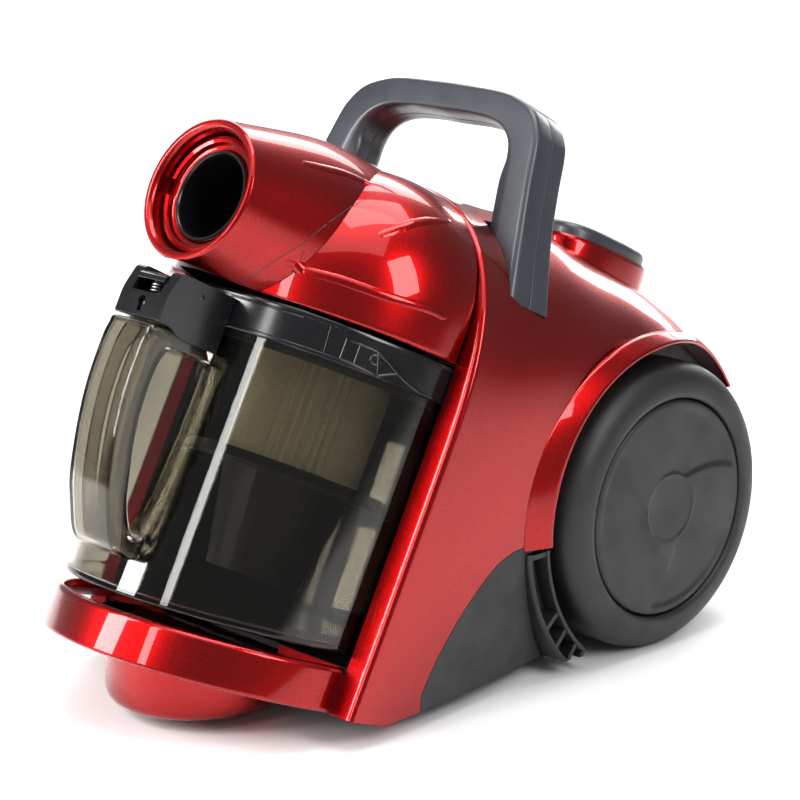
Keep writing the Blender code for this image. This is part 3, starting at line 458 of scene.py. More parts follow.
def body_rows(inset):
    """Sections from front to rear.

    Each is base y, z; top y, z; half width; foot half width; the sides' share of the height; roundness.
    """
    front = FRONT_S + inset
    rows = [
        (*front_section(front, 252), 113.9, 113.2, 0.50, 2.7),
        (*front_section(12, 253), 113.9, 112.5, 0.50, 2.7),
        (-66, FLOOR_Z, 27, 254, 113.6, 109, 0.50, 2.7),
        (-28, FLOOR_Z, 55, 244, 113.0, 105, 0.52, 2.7),
        (15, FLOOR_Z, 83, 229, 112.5, 98, 0.54, 2.7),
        (55, FLOOR_Z, 108, 215, 112.0, 90, 0.56, 2.7),
        (90, FLOOR_Z, 133, 200, 111.0, 87, 0.56, 2.7),
        (120, FLOOR_Z, 157, 183, 108.0, 86, 0.55, 2.7),
        (146, 10, 178, 161, 102.0, 85, 0.52, 2.7),
        (163, 12, 193, 137, 95.0, 84, 0.50, 2.7),
        (175, 17, 202, 110, 88.0, 82, 0.50, 2.8),
        (185, 31, 205.5 - inset, 90, 74.0, 70, 0.50, 3.0),
    ]
    out = []
    for by, bz, ty, tz, half, foot, share, power in rows:
        length = hypot(ty - by, tz - bz)
        uy, uz = (ty - by) / length, (tz - bz) / length
        if inset and tz < 105:
            by, bz, ty, tz = by - inset, bz + inset, ty - inset, tz - inset
        ends = by + uy * inset, bz + uz * inset, ty - uy * inset, tz - uz * inset
        out.append((*ends, half - inset, foot - inset, share, power))
    return out


def body_ring(row, arc_steps, side_steps):
    by, bz, ty, tz, half, foot, share, power = row
    right = []
    for i in range(side_steps):
        ease = i / side_steps
        right.append((foot + (half - foot) * ease * (2 - ease), share * ease))
    for i in range(arc_steps + 1):
        a = 0.5 * pi * i / arc_steps
        x = half * max(cos(a), 0.0) ** (2 / power)
        right.append((x if i < arc_steps else 0.0, share + (1 - share) * sin(a) ** (2 / power)))
    ring = right + [(-x, h) for x, h in reversed(right[:-1])]
    return [at(x, by + (ty - by) * h, bz + (tz - bz) * h) for x, h in ring]


def body_form(name, inset, steps, arc_steps, side_steps, look=MATTE, rim=0.0):
    """The body's closed form; `rim` rounds its front edge."""
    rows = body_rows(inset)
    rings = []
    start = 0.0
    if rim:
        spacing = 20.0 * (len(rows) - 1)
        start = rim / spacing
        for k in range(7):
            a = 0.5 * pi * k / 7
            row = list(curve_at(rows, rim * (1 - cos(a)) / spacing))
            drop = rim * (1 - sin(a))
            row[3] -= drop * COS
            row[2] -= drop * SIN
            row[4] -= drop
            row[5] -= drop
            rings.append(body_ring(row, arc_steps, side_steps))
    for i in range(steps + 1):
        rings.append(body_ring(curve_at(rows, start + (1 - start) * i / steps), arc_steps, side_steps))
    return loft(name, rings, look)


GREY_EDGE = [(-93, 18), (-83, 34), (-68, 52), (-53, 66), (-38, 77), (-24, 82), (40, 84), (58, 31), (260, 31)]


def grey_region(name, grow):
    front = [curve_at(GREY_EDGE[:6], i / 20) for i in range(21)]
    edge = [(y - grow, z + grow) for y, z in front + GREY_EDGE[6:]]
    return side_prism(name, [(-93 - grow, -20)] + edge + [(260, -20)], -150, 150)


def underside(name, depth):
    outline = [(-260, base_c(-260, depth)), (60, base_c(60, depth)), (60, -160), (-260, -160)]
    ring = [tilt(-200, s, c) for s, c in outline]
    return prism(name, ring, X_DIR * (400 * MM), MATTE)


def above_base(name, depth, r, high, steps=160):
    """Round column about the cup's axis that stands on the sloping base plane."""
    rings = []
    for level in (None, high):
        ring = []
        for a in circle(steps):
            x, s = r * cos(a), r * sin(a)
            ring.append(tilt(x, s, base_c(s, depth) if level is None else level))
        rings.append(ring)
    return loft(name, rings, MATTE)


def on_wheel(side, x, r, angle):
    a = radians(angle)
    return at(side * x, WHEEL_Y + r * cos(a), WHEEL_R + r * sin(a))


def wheel_ring(side, section, angle):
    """A (radius, x) section placed at an angle round the wheel: 0 is rear, 90 up and 180 front."""
    return [on_wheel(side, x, r, angle) for r, x in section]


RIDGE = [(34, 96.5), (60, 97.5), (80, 98.5), (105, 101), (130, 104.5), (150, 108.5), (166, 110), (181.5, 109)]
LIP_X = 119.0


def ridge_r(angle):
    for (a0, r0), (a1, r1) in zip(RIDGE, RIDGE[1:]):
        if angle <= a1:
            return r0 + (r1 - r0) * (angle - a0) / (a1 - a0)
    return RIDGE[-1][1]


def skin_x(angle):
    return 90.0 + 15.5 * smooth_step((angle - 30) / 42) + 5.5 * min(1.0, max(0.0, (angle - 60) / 60))


def lip_x(angle):
    """Outer edge of the fender, which draws in towards its tail."""
    return 101.0 + (LIP_X - 101.0) * smooth_step((angle - 32) / 66)


def fender_angles(steps):
    return [RIDGE[0][0] + (RIDGE[-1][0] - RIDGE[0][0]) * i / steps for i in range(steps + 1)]


def fender(name, side):
    rings = []
    for angle in fender_angles(90):
        r, x, lip = ridge_r(angle), skin_x(angle), lip_x(angle)
        section = [(r, x + 1.6), (95.2, lip), (93.2, lip), (WELL_R, lip - 1.5), (WELL_R, TYRE_IN - 3),
                   (95.6, TYRE_IN - 3), (95.6, x - 1.2), (r, x - 1.2)]
        section = rounded(section, [1.2, 1.6, 0.8, 0.5, 0, 0, 0, 0.4], 4)
        rings.append(wheel_ring(side, section, angle))
    return loft(name, rings, RED, angle=50)


def fender_cut(name, side):
    rings = []
    angles = [RIDGE[0][0] - 0.4] + fender_angles(60)[1:-1] + [RIDGE[-1][0] + 0.4]
    for angle in angles:
        r, x = ridge_r(angle) + SEAM, skin_x(angle) - 1.2 - SEAM
        rings.append(wheel_ring(side, [(80, 140), (r, 140), (r, x), (80, x)], angle))
    return loft(name, rings, MATTE)


def guard_cut(side):
    section = corners((WELL_R - 1, 96.7), (107.8, 125))
    return loft("guard_cut", [wheel_ring(side, section, 182.8 + 46.4 * i / 24) for i in range(25)], MATTE)


def bay_tools():
    wide = above_base("wide", TRAY_TOP - WALL - SEAM, BAY_R + WALL + SEAM, 175)
    combine(wide, [tilted_block("front", (-150, -150, -80), (150, FRONT_S + WALL, 250))])
    tools = [above_base("bay", TRAY_TOP - WALL - SEAM, BAY_R, 175), wide]
    for tool in tools:
        combine(tool, [below(FLOOR_Z + WALL + 0.1)])
    return tools


def inside_tool():
    return combine(body_form("hollow", WALL, 20, 9, 4), [underside("slope", TRAY_LOW + WALL)])


def well_tools():
    low = WELL_X - WALL - SEAM
    return [rod("well", WELL_R + WALL + SEAM, low, 150, at(0, WHEEL_Y, WHEEL_R), X_DIR * side, Z_DIR, 128)
            for side in (-1, 1)]


def middle(name, grow):
    return block(name, (-97 - grow, -300, -20), (97 + grow, -92, 130))


def caster_room():
    return rod("caster_room", CASTER_R + 0.5, -20, 60, at(0, CASTER_Y, 0), Z_DIR, X_DIR, 96)


def leg_cut(side):
    """Socket in the body for one leg of the handle."""
    (foot, low), (knee, high) = ARCH_OUT[:2]
    lean = (foot - knee) / (high - low)
    rings = []
    for c in (HANDLE_LOW - SEAM, 215, 230, 262):
        shift = (c - HANDLE_LOW) * lean
        out, inner, wide = foot - shift + SEAM, ARCH_IN[0][0] - shift - INNER_EDGE - SEAM, flare(c)
        rings.append([tilt(side * out, HANDLE_FRONT - SEAM, c), tilt(side * inner, HANDLE_FRONT - SEAM, c),
                      tilt(side * inner, HANDLE_REAR + SEAM, c),
                      tilt(side * (out + wide), HANDLE_REAR + SEAM, c)])
    return loft("leg_cut", rings, MATTE)


U_DIR = Vector((0, cos(PEDAL_SLOPE), -sin(PEDAL_SLOPE)))
N_DIR = Vector((0, sin(PEDAL_SLOPE), cos(PEDAL_SLOPE)))


def pedal_middle(side):
    return at(side * PEDAL_X, PEDAL_Y, PEDAL_Z)


def oval(side, half_x, half_u, level, steps=96, power=2.6):
    centre = pedal_middle(side)
    ring = []
    for a in circle(steps):
        ca, sa = cos(a), sin(a)
        px = copysign(abs(ca) ** (2 / power), ca) * half_x
        pu = copysign(abs(sa) ** (2 / power), sa) * half_u
        ring.append(centre + X_DIR * (px * MM) + U_DIR * (pu * MM) + N_DIR * (level * MM))
    return ring


def oval_stack(name, side, rows, look=MATTE, angle=32):
    return loft(name, [oval(side, a, b, h) for a, b, h in rows], look, angle=angle)


REAR_LOW, REAR_HIGH = (188.0, 42.0), (202.0, 83.0)
REAR_ANGLE = atan2(REAR_HIGH[1] - REAR_LOW[1], REAR_HIGH[0] - REAR_LOW[0])
REAR_LENGTH = hypot(REAR_HIGH[0] - REAR_LOW[0], REAR_HIGH[1] - REAR_LOW[1])
GRILLE_X, CORD_X, CORD_NECK_R = 50.0, 63.0, 5.5


def rear_slab(name, half, low, high, inner, outer):
    uy, uz = cos(REAR_ANGLE), sin(REAR_ANGLE)
    outline = []
    for along, out in corners((low, inner), (high, outer)):
        outline.append((REAR_LOW[0] + uy * along + uz * out, REAR_LOW[1] + uz * along - uy * out))
    return side_prism(name, outline, -half, half)


def cord_rod(name, r, low, high):
    uy, uz = cos(REAR_ANGLE), sin(REAR_ANGLE)
    along = 0.45 * REAR_LENGTH
    centre = at(CORD_X, REAR_LOW[0] + uy * along, REAR_LOW[1] + uz * along)
    return rod(name, r, low, high, centre, Vector((0, uz, -uy)), X_DIR, 48)


def make_shell():
    shell = body_form("shell_skin", 0, 96, 26, 12, RED, RIM_R)
    combine(shell, [inside_tool(), grey_region("grey", SEAM), underside("under", TRAY_LOW),
                    middle("middle", SEAM)])
    combine(shell, bay_tools() + well_tools())
    for side in (-1, 1):
        combine(shell, [fender_cut("fender_cut", side)], solver="MANIFOLD")
        plinth = oval_stack("plinth_cut", side, [(25.3, 39.8, -22), (25.3, 39.8, 20)])
        combine(shell, [leg_cut(side), plinth, guard_cut(side)])
    exhaust = rear_slab("exhaust", GRILLE_X + SEAM, -SEAM, REAR_LENGTH + SEAM, -30, 30)
    combine(shell, [exhaust, cord_rod("cord_hole", CORD_NECK_R + SEAM, -20, 20)])
    seat(shell, 28, "shell_red", "main_shell")


def make_chassis():
    chassis = body_form("chassis_pan", 0, 96, 16, 12, CHASSIS, RIM_R)
    region = combine(grey_region("grey", 0), [middle("middle", 0)], "UNION")
    combine(chassis, [region], "INTERSECT")
    combine(chassis, [inside_tool(), underside("under", TRAY_LOW)])
    combine(chassis, bay_tools() + well_tools() + [caster_room()])
    for side in (-1, 1):
        combine(chassis, [fender_cut("fender_cut", side)], solver="MANIFOLD")
        combine(chassis, [guard_cut(side)])
    seat(chassis, 28, "chassis_grey", "lower_chassis")


# ---------------------------------------------------------------- carry handle
ARCH_OUT = [(98.2, HANDLE_LOW), (88.5, 244), (82, 271), (78.0, 290), (74.5, 299), (67, 308), (55, 313.5),
            (38, 316.8), (0, 318)]
ARCH_IN = [(78.5, HANDLE_LOW), (69.5, 244), (63.5, 271), (60.5, 282), (55.5, 291), (47, 297.5), (36, 300.6),
           (20, 301.8), (0, 302)]


def arch_line(points, steps):
    half = [curve_at(points, i / steps) for i in range(steps + 1)]
    return [(-x, c) for x, c in half[:-1]] + [(x, c) for x, c in reversed(half)]


def flare(c):
    return FOOT_FLARE * min(1.0, max(0.0, (252 - c) / 47)) ** 1.4


def handle_half(name, front):
    """One moulding of the handle, from the seam to its face, with rounded edges."""
    seam = 0.5 * (HANDLE_FRONT + HANDLE_REAR) - HANDLE_FRONT
    depth = HANDLE_REAR - HANDLE_FRONT
    rings = []
    outer, inner = arch_line(ARCH_OUT, 44), arch_line(ARCH_IN, 44)
    for (xo, co), (xi, ci) in zip(outer, inner):
        width = hypot(xo - xi, co - ci)
        swell = width + 1.5 + (INNER_EDGE - 1.5) * smooth_step((HANDLE_BEND - ci) / 34)
        if front:
            section = [(0, seam - 0.2), (0, 0), (width, 0), (swell, 4.5), (swell, seam - 0.2)]
            section = rounded(section, [0.5, 4.0, 3.0, 3.0, 0.5], 6)
        else:
            section = [(0, seam + 0.2), (0, depth), (swell - 3, depth), (swell, depth - 5),
                       (swell, seam + 0.2)]
            section = rounded(section, [0.5, 2.5, 4.0, 3.0, 0.5], 6)
        ring = []
        for along, deep in section:
            k = along / width
            out = copysign(flare(co) * (1 - min(1, k)) * min(1.0, deep / depth), xo)
            ring.append(tilt(xo + (xi - xo) * k + out, HANDLE_FRONT + deep, co + (ci - co) * k))
        rings.append(ring)
    return loft(name, rings, SLATE, angle=40)


def make_handle():
    ride(handle_half("handle_front", True), "housing", "handle_slate", "handle_front_shell")
    rear = handle_half("handle_rear", False)
    for side in (-1, 1):
        combine(rear, [rod("hole", 4.4, -2, 5.2, tilt(side * SCREW_X, HANDLE_REAR, SCREW_C), -S_DIR, X_DIR,
                           32)])
    soften(rear, 40)
    ride(rear, "housing", "handle_slate", "handle_rear_shell")
    for side, word in SIDES:
        centre = tilt(side * SCREW_X, HANDLE_REAR, SCREW_C)
        profile = rounded([(0, 2.4), (3.7, 2.6), (3.7, 4.9), (1.5, 4.9), (1.5, 22), (0, 22)],
                          [0, 0.8, 0, 0, 0, 0])
        head = revolve(f"screw_{word}", profile, centre, -S_DIR, X_DIR, 40, STEEL)
        for turn in (0, 0.5 * pi):
            spin = Matrix.Rotation(turn, 4, S_DIR)
            slot = [spin @ (X_DIR * (a * MM) + C_DIR * (b * MM)) for a,
                    b in corners((-2.4, -0.45), (2.4, 0.45))]
            ring = [centre - S_DIR * (1.5 * MM) + p for p in slot]
            combine(head, [prism("slot", ring, -S_DIR * (2.4 * MM), MATTE)])
        soften(head, 30)
        ride(head, "housing", "steel", f"handle_screw_{word}")


# ---------------------------------------------------------------- pedals
def make_pedals():
    for side, label in PEDALS:
        rows = [(25, 39.5, -14), (25, 39.5, 1.0), (24.7, 39.2, 2.6), (24.0, 38.5, 3.8), (23.1, 37.6, 4.2)]
        plinth = oval_stack(f"{label}_surround", side, rows, RED, 45)
        combine(plinth, [oval_stack("hole", side, [(22.2, 36.7, -11.5), (22.2, 36.7, 8)])])
        combine(plinth, [rod("hole", 2.9, -20, 0, pedal_middle(side), N_DIR, X_DIR, 32)])
        soften(plinth, 35)
        ride(plinth, "housing", "shell_red", f"{label}_plinth")
        rows = [(21.8, 36.3, -5.5), (21.8, 36.3, 7.4), (21.6, 36.1, 8.8), (21.0, 35.5, 10.2),
                (20.0, 34.5, 11.2), (18.5, 33.0, 11.8), (15.5, 30.0, 12.0), (14.6, 29.0, 11.3),
                (8, 20, 11.0), (1, 3, 10.9)]
        pedal = oval_stack(f"{label}_button", side, rows, SLATE, 45)
        combine(pedal, [oval_stack("hollow", side, [(19.4, 33.9, -9), (19.4, 33.9, 7.6)])])
        stem = rod("stem", 2.8, -13.5, 9.0, pedal_middle(side), N_DIR, X_DIR, 32)
        combine(pedal, [stem], "UNION")
        soften(pedal, 35)
        ride(pedal, f"{label}_button", "handle_slate", f"{label}_pedal")
        make_mark(side, label)


def make_mark(side, label):
    """Raised mark on a pedal: an open ring with a bar for power, a ring with an arrowhead for rewind."""
    centre = pedal_middle(side) + N_DIR * (11.0 * MM)
    gap = radians(38)
    section = rounded(corners((6.2, 0), (7.4, 0.9)), 0.25, 2)
    rings = []
    for i in range(41):
        a = gap + (2 * pi - 2 * gap) * i / 40
        out = -U_DIR * cos(a) + X_DIR * sin(a)
        rings.append([centre + out * (r * MM) + N_DIR * (h * MM) for r, h in section])
    ring = loft(f"{label}_mark_ring", rings, GLOSS)
    ride(ring, f"{label}_button", "black_gloss")
    if side > 0:
        outline = [(-0.6, 1.5), (0.6, 1.5), (0.6, 9.0), (-0.6, 9.0)]
    else:
        outline = [(4.0, 3.6), (9.4, 5.2), (5.2, 9.0)]
    points = [centre + X_DIR * (x * MM) - U_DIR * (u * MM) for x, u in rounded(outline, 0.3, 3)]
    bar = prism(f"{label}_mark_bar", points, N_DIR * (0.9 * MM), GLOSS)
    ride(bar, f"{label}_button", "black_gloss")


# ---------------------------------------------------------------- wheels, wells and guards
def cap_height(x, y):
    """Height of the wheel cap's face at (x, y) from its middle, both in mm.

    Three arms run from the hub to the rim; each has a crisp edge on one side and fades out on the other.
    """
    r = hypot(x, y)
    dome = -1.0 * (r / 60) ** 2
    fall = smooth_step((r - 19.5) / 1.6) * smooth_step((58.5 - r) / 3)
    sunk = 0.0
    for k in range(3):
        edge = ARM_START + 120 * k + ARM_BEND * (sqrt(max(0.0, r - 19) / 40) - 0.5)
        turn = (degrees(atan2(y, x)) - edge) % 360
        if turn < ARM_SPAN:
            away = radians(turn) * r
            sunk = max(sunk, smooth_step(away / 1.4) * (1 - smooth_step((turn - 18) / (ARM_SPAN - 18))))
    return dome - 1.5 * sunk * fall


def make_cap(side, word):
    steps, rows = 180, 46
    points, faces = [], []
    for i in range(rows + 1):
        r = 60.2 * i / rows
        for a in circle(steps):
            x, y = r * cos(a), r * sin(a)
            h = WHEEL_X - 0.1 + cap_height(x, y)
            h -= 1.3 * smooth_step((19.3 - r) / 1.0) * (0.45 + 0.55 * smooth_step((19 - r) / 19))
            points.append(at(side * h, WHEEL_Y + x, WHEEL_R + y))
    outer = [(61.3, -1.4), (61.9, -2.4), (62.3, -4.0), (62.3, -6.0), (57, -6.0), (56.5, -4.4), (12, -5.0),
             (10, -8), (0, -8)]
    for r, drop in outer:
        points += [at(side * (WHEEL_X + drop), WHEEL_Y + r * cos(a), WHEEL_R + r * sin(a))
                   for a in circle(steps)]
    for i in range(rows + len(outer)):
        for j in range(steps):
            k = (j + 1) % steps
            faces.append((i * steps + j, i * steps + k, (i + 1) * steps + k, (i + 1) * steps + j))
    cap = make(f"wheel_face_{word}", points, faces, CAP, 50)
    ride(cap, f"wheel_{word}_body", "black_matte", f"wheel_cap_{word}")


def make_tyre(side, word):
    drops = [(63.0, 2.4), (63.6, 1.2), (64.8, 0.4), (66.8, 0), (70.5, 0.3), (74.0, 1.2), (77.2, 2.9),
             (79.8, 5.3), (81.6, 8.2), (82.6, 11.5), (WHEEL_R, 15), (WHEEL_R, 20.5)]
    profile = [(r, WHEEL_X - drop) for r, drop in drops]
    smooth = [tuple(curve_at(profile, i / 40)) for i in range(41)]
    smooth = [(min(r, WHEEL_R), min(h, WHEEL_X)) for r, h in smooth]
    smooth += [(WHEEL_R, TYRE_IN + 3.5), (82.2, TYRE_IN + 1.6), (80.2, TYRE_IN), (64.5, TYRE_IN),
               (63.0, TYRE_IN + 1)]
    tyre = revolve(f"tyre_tread_{word}", smooth, at(0, WHEEL_Y, WHEEL_R), X_DIR * side, Z_DIR, 160, RUBBER,
                   40)
    ride(tyre, f"wheel_{word}_body", "tyre_rubber", f"tyre_{word}")


def make_guard(side, word):
    """Arc in front of the tyre: an inner wall, an outer rail and cross ribs with pockets between them."""
    parts = []
    start, sweep, steps = 182.9, 46.0, 40
    wall = [(WELL_R, 97.2), (95.4, 97.2), (95.4, 116.4), (WELL_R, 116.4)]
    rail = [(104.8, 97.2), (107.4, 97.2), (107.4, 113.0), (106.0, 114.6), (104.8, 114.6)]
    floor = [(WELL_R, 97.2), (107.4, 97.2), (107.4, 106.5), (WELL_R, 106.5)]
    for label, section in (("wall", wall), ("rail", rail), ("floor", floor)):
        edge = rounded(section, 0.6, 2)
        rings = [wheel_ring(side, edge, start + sweep * i / steps) for i in range(steps + 1)]
        parts.append(loft(f"guard_{label}", rings, MATTE))
    ribs = [start + 1.2, start + 24, start + 32, start + 40, start + 45.2]
    for k, angle in enumerate(ribs):
        rings = []
        slant = 2.4 if k else 0
        for turn in (-0.8, 0.8):
            section = [(94.5, 100), (106, 100), (106, 113.8), (94.5, 115.6)]
            rings.append([on_wheel(side, x, r, angle + turn + slant * (r - 94.5) / 11.5) for r, x in section])
        parts.append(loft("guard_rib", rings, MATTE))
    guard = parts[0]
    combine(guard, parts[1:], "UNION")
    combine(guard, [block("ground", (-150, -100, -30), (150, 100, FLOOR_Z))])
    guard.name = f"guard_arc_{word}"
    soften(guard, 30)
    ride(guard, "housing", "black_matte", f"wheel_guard_{word}")


def make_wheels():
    for side, word in SIDES:
        make_tyre(side, word)
        make_cap(side, word)
        make_guard(side, word)
        ride(fender(f"fender_arc_{word}", side), "housing", "shell_red", f"fender_{word}")


# ---------------------------------------------------------------- head and barrel
HEAD_ROWS = [(FRONT_S - 1.5, 98.6, 251.5), (-26, 97.2, 250.5), (-44, 91.5, 246), (-60, 81.5, 238),
             (-74, 67.0, 226), (-85, 50.5, 210), (-92.5, 33.0, 192), (-96.5, 18.0, 176)]
BARREL = [(PORT_S, 38.7), (-120, 41.4), (-105, 45.2), (-90, 49.0), (-75, 52.4), (-60, 54.6), (-45, 55.4),
          (-30, 55.2), (FRONT_S - 1.5, 54.0)]
PANEL_RIM = 2.2                # rounding of the head's lower edge


def head_form(name, inset, steps, arc_steps, look=MATTE):
    rows = [(s + (inset if i else 20) if inset else s, half - inset, top - inset)
            for i, (s, half, top) in enumerate(HEAD_ROWS)]
    low = HEAD_LOW - 10 if inset else HEAD_LOW
    rings = []
    for i in range(steps + 1):
        s, half, top = curve_at(rows, i / steps)
        if inset:
            right = [(half, low), (half, HEAD_LOW + 4)]
        else:
            right = [(half - PANEL_RIM * (1 - sin(a)), low + PANEL_RIM * (1 - cos(a)))
                     for a in (0.5 * pi * k / 5 for k in range(6))]
            right.append((half, HEAD_LOW + 4))
        start = HEAD_LOW + 8
        for k in range(arc_steps + 1):
            a = 0.5 * pi * k / arc_steps
            x = half * max(cos(a), 0) ** (2 / 2.5)
            right.append((x if k < arc_steps else 0.0, start + (top - start) * sin(a) ** (2 / 2.5)))
        ring = right + [(-x, c) for x, c in reversed(right[:-1])]
        rings.append([tilt(x, s, c) for x, c in ring])
    return loft(name, rings, look)


def barrel_form(name, grow=0.0, first=None, last=None, look=MATTE, steps=40, around=144):
    rows = list(BARREL)
    if first is not None:
        rows[0] = (first, rows[0][1])
    if last is not None:
        rows[-1] = (last, rows[-1][1])
    rings = []
    for i in range(steps + 1):
        s, r = curve_at(rows, i / steps)
        r += grow
        rings.append([tilt(r * cos(a), s, PORT_C + r * sin(a)) for a in circle(around)])
    return loft(name, rings, look)


def port_turn(name, profile, look, steps=128, angle=40):
    """Turned about the inlet's axis; heights are s."""
    return revolve(name, profile, tilt(0, 0, PORT_C), S_DIR, X_DIR, steps, look, angle)


HEAD_LINES = {"barrel_seam": ([(54.2, -49.8, 233.6), (52.4, -59, 228.2), (50.1, -67.4, 221.3),
                               (50.2, -82.7, 204.5), (47, -93.8, 187.2), (41, -100.4, 175.7),
                               (34.2, -103, 167.1), (25, -103.7, 159.3)], 0.5, 0.12, MATTE, "black_matte"),
              "panel_seam": ([(47.5, -90.5, 185.8), (44.7, -87.8, 172.5), (44.9, -87.5, 159.5)], 0.5, 0.12,
                             MATTE, "black_matte"), "leaf_crease": ([(34.6, -100.2, 228.3),
                                                                     (36.6, -86.4, 231.1),
                                                                     (38.7, -70, 233.9),
                                                                     (43.2, -55.1, 235.1),
                                                                     (54.2, -49.8, 233.6)], 6.0, 0.6, RED,
                                                                    "shell_red"),
              "lower_crease": ([(42.8, -95.7, 176.5), (50.9, -84.5, 176.4), (64.6, -75.6, 177.4),
                                (82.2, -58.7, 177.5), (94.1, -36.4, 179.6), (96.7, -26.6, 179)], 5.0, 0.7,
                               RED, "shell_red"), "shoulder_crease": ([(68.9, -64, 207),
                                                                       (72.2, -55.4, 214.6),
                                                                       (73.7, -44.7, 222.1),
                                                                       (74, -24.2, 230.3)], 6.0, 0.7, RED,
                                                                      "shell_red"),}


def make_head():
    for side, word in SIDES:
        panel = head_form(f"head_cover_{word}", 0, 56, 30, RED)
        combine(panel, [head_form("hollow", WALL, 16, 10), barrel_form("barrel_cut", 0.35, PORT_S - 30, 20)])
        x_low, x_high = (-1, 200) if side < 0 else (-200, 1)
        combine(panel, [block("other_side", (x_low, -300, 0), (x_high, 300, 400))])
        seat(panel, 28, "shell_red", f"head_panel_{word}")
    barrel = barrel_form("barrel_skin", look=RED)
    combine(barrel, [tilted_block("low", (-150, -180, HEAD_LOW - 80), (150, 40, HEAD_LOW))])
    mouth = [(0, PORT_S - 5), (36.6, PORT_S - 5), (36.6, PORT_S - 0.01), (35.4, PORT_S + 0.6),
             (34.4, PORT_S + 1.8), (33.6, PORT_S + 3.4), (33.4, PORT_S + 14.9), (0, PORT_S + 14.9)]
    combine(barrel, [port_turn("mouth", mouth, MATTE)])
    combine(barrel, [barrel_form("inside", -WALL, PORT_S + 18, 30, steps=12, around=48)])
    combine(barrel, [port_turn("throat", [(0, PORT_S), (25.4, PORT_S), (25.4, PORT_S + 30),
                                          (0, PORT_S + 30)], MATTE)])
    edge = [(50, PORT_S - 4), (39.5, PORT_S - 4), (36.9, PORT_S - 0.2), (37.6, PORT_S + 0.05),
            (38.5, PORT_S + 0.5), (39.1, PORT_S + 1.4), (39.5, PORT_S + 2.6), (50, PORT_S + 2.6)]
    combine(barrel, [port_turn("edge", edge, MATTE)])
    seat(barrel, 30, "shell_red", "barrel_shell")
    panels = [obj for obj in bpy.data.objects if obj.name.startswith("head_cover")]
    for side, word in SIDES:
        for label, (points, r, proud, look, slot) in HEAD_LINES.items():
            line = [(side * x, s, c) for x, s, c in points]
            ride(surface_line(f"{label}_{word}", line, r, proud, look, barrel, *panels), "housing", slot)
    make_inlet()


def make_inlet():
    """Stepped ring around the inlet hole, with a bayonet notch, and the duct behind it."""
    s = PORT_S + 10.6
    ring = [(33.0, s + 4.0), (33.0, s + 0.6), (32.0, s - 2.6), (30.2, s - 3.4), (28.6, s - 2.8), (27.8, s),
            (26.2, s + 0.3), (25.4, s + 1.0), (25.4, s + 4.0)]
    collar = port_turn("inlet_ring", ring, RED)
    notch = [tilt(x, PORT_S - 2, PORT_C + c) for x, c in corners((-34, -4.5), (-26.5, 4.5))]
    combine(collar, [prism("notch", notch, S_DIR * (13.2 * MM), MATTE)])
    soften(collar, 40)
    ride(collar, "housing", "shell_red", "inlet_collar")
    duct = [(24.8, s - 0.4), (24.4, s - 0.9), (23.4, s - 0.9), (22.6, s), (22.5, s + 2), (22.5, -62),
            (25.0, -62), (25.0, s)]
    ride(port_turn("inlet_duct", duct, GLOSS), "housing", "black_matte", "inlet_tube")


# ---------------------------------------------------------------- tray and caster housing
def make_tray():
    """Half-round step under the cup with a raised rim."""
    def outline(r, back, steps=120):
        start = asin(-back / r)
        angles = [start + (pi - 2 * start) * i / steps for i in range(steps + 1)]
        return [(r * cos(a), -r * sin(a)) for a in angles]

    levels = [(2.2, TRAY_LOW), (0.7, TRAY_LOW + 0.7), (0, TRAY_LOW + 2.4), (0, TRAY_TOP - 3.0),
              (0.6, TRAY_TOP - 1.2), (1.7, TRAY_TOP - 0.2), (2.8, TRAY_TOP), (3.6, TRAY_TOP - 0.5),
              (4.0, TRAY_TOP - 1.6), (4.0, TRAY_TOP - 4.5)]
    rings = []
    for inset, depth in levels:
        rings.append([tilt(x, s, base_c(s, depth)) for x, s in outline(TRAY_R - inset, FRONT_S - SEAM)])
    tray = loft("tray_rim", rings, RED, angle=40)
    combine(tray, [block("ground", (-150, -300, -20), (150, 0, FLOOR_Z)), caster_room()], solver="MANIFOLD")
    seat(tray, 35, "shell_red", "front_tray")


def make_caster():
    centre = at(0, CASTER_Y, 0)
    profile = [(28, 7), (CASTER_R - 7, 7), (CASTER_R - 3.5, 7.5), (CASTER_R - 1.4, 9.0),
               (CASTER_R - 0.3, 11.8), (CASTER_R, 15), (CASTER_R, 60), (0, 60), (0, 33), (28, 33)]
    dome = revolve("caster_dome", profile, centre, Z_DIR, X_DIR, 128, RED, 40)
    slope = [tilt(-200, s, c) for s, c in ((-260, base_c(-260, TRAY_TOP - 4.8)),
                                           (160, base_c(160, TRAY_TOP - 4.8)), (160, 260), (-260, 260))]
    combine(dome, [prism("slope", slope, X_DIR * (400 * MM), MATTE)])
    combine(dome, [block("back", (-90, CASTER_Y + 44, -10), (90, 40, 90)),
                   block("ceiling", (-90, -300, 42), (90, 0, 122))])
    combine(dome, [rod("pin_hole", 3.05, 20, 80, centre, Z_DIR, X_DIR, 32)])
    soften(dome, 35)
    ride(dome, "housing", "shell_red", "caster_housing")


# ---------------------------------------------------------------- dust cup
def make_cup():
    """Clear vessel on the sloping base, with its rear lower edge cut level."""
    wall, floor = 2.6, 3.0
    cup = cup_column("cup_clear", CUP_R, 0, LID_LOW - SEAM, SMOKE, 2.2)
    inside = cup_column("inside", CUP_R - wall, floor, LID_LOW + 30, SMOKE, 2.0)
    combine(inside, [below(BEVEL_Z + wall)])
    combine(cup, [below(BEVEL_Z), inside])
    soften(cup, 35)
    ride(cup, "dust_cup", "smoke_clear", "cup_vessel")


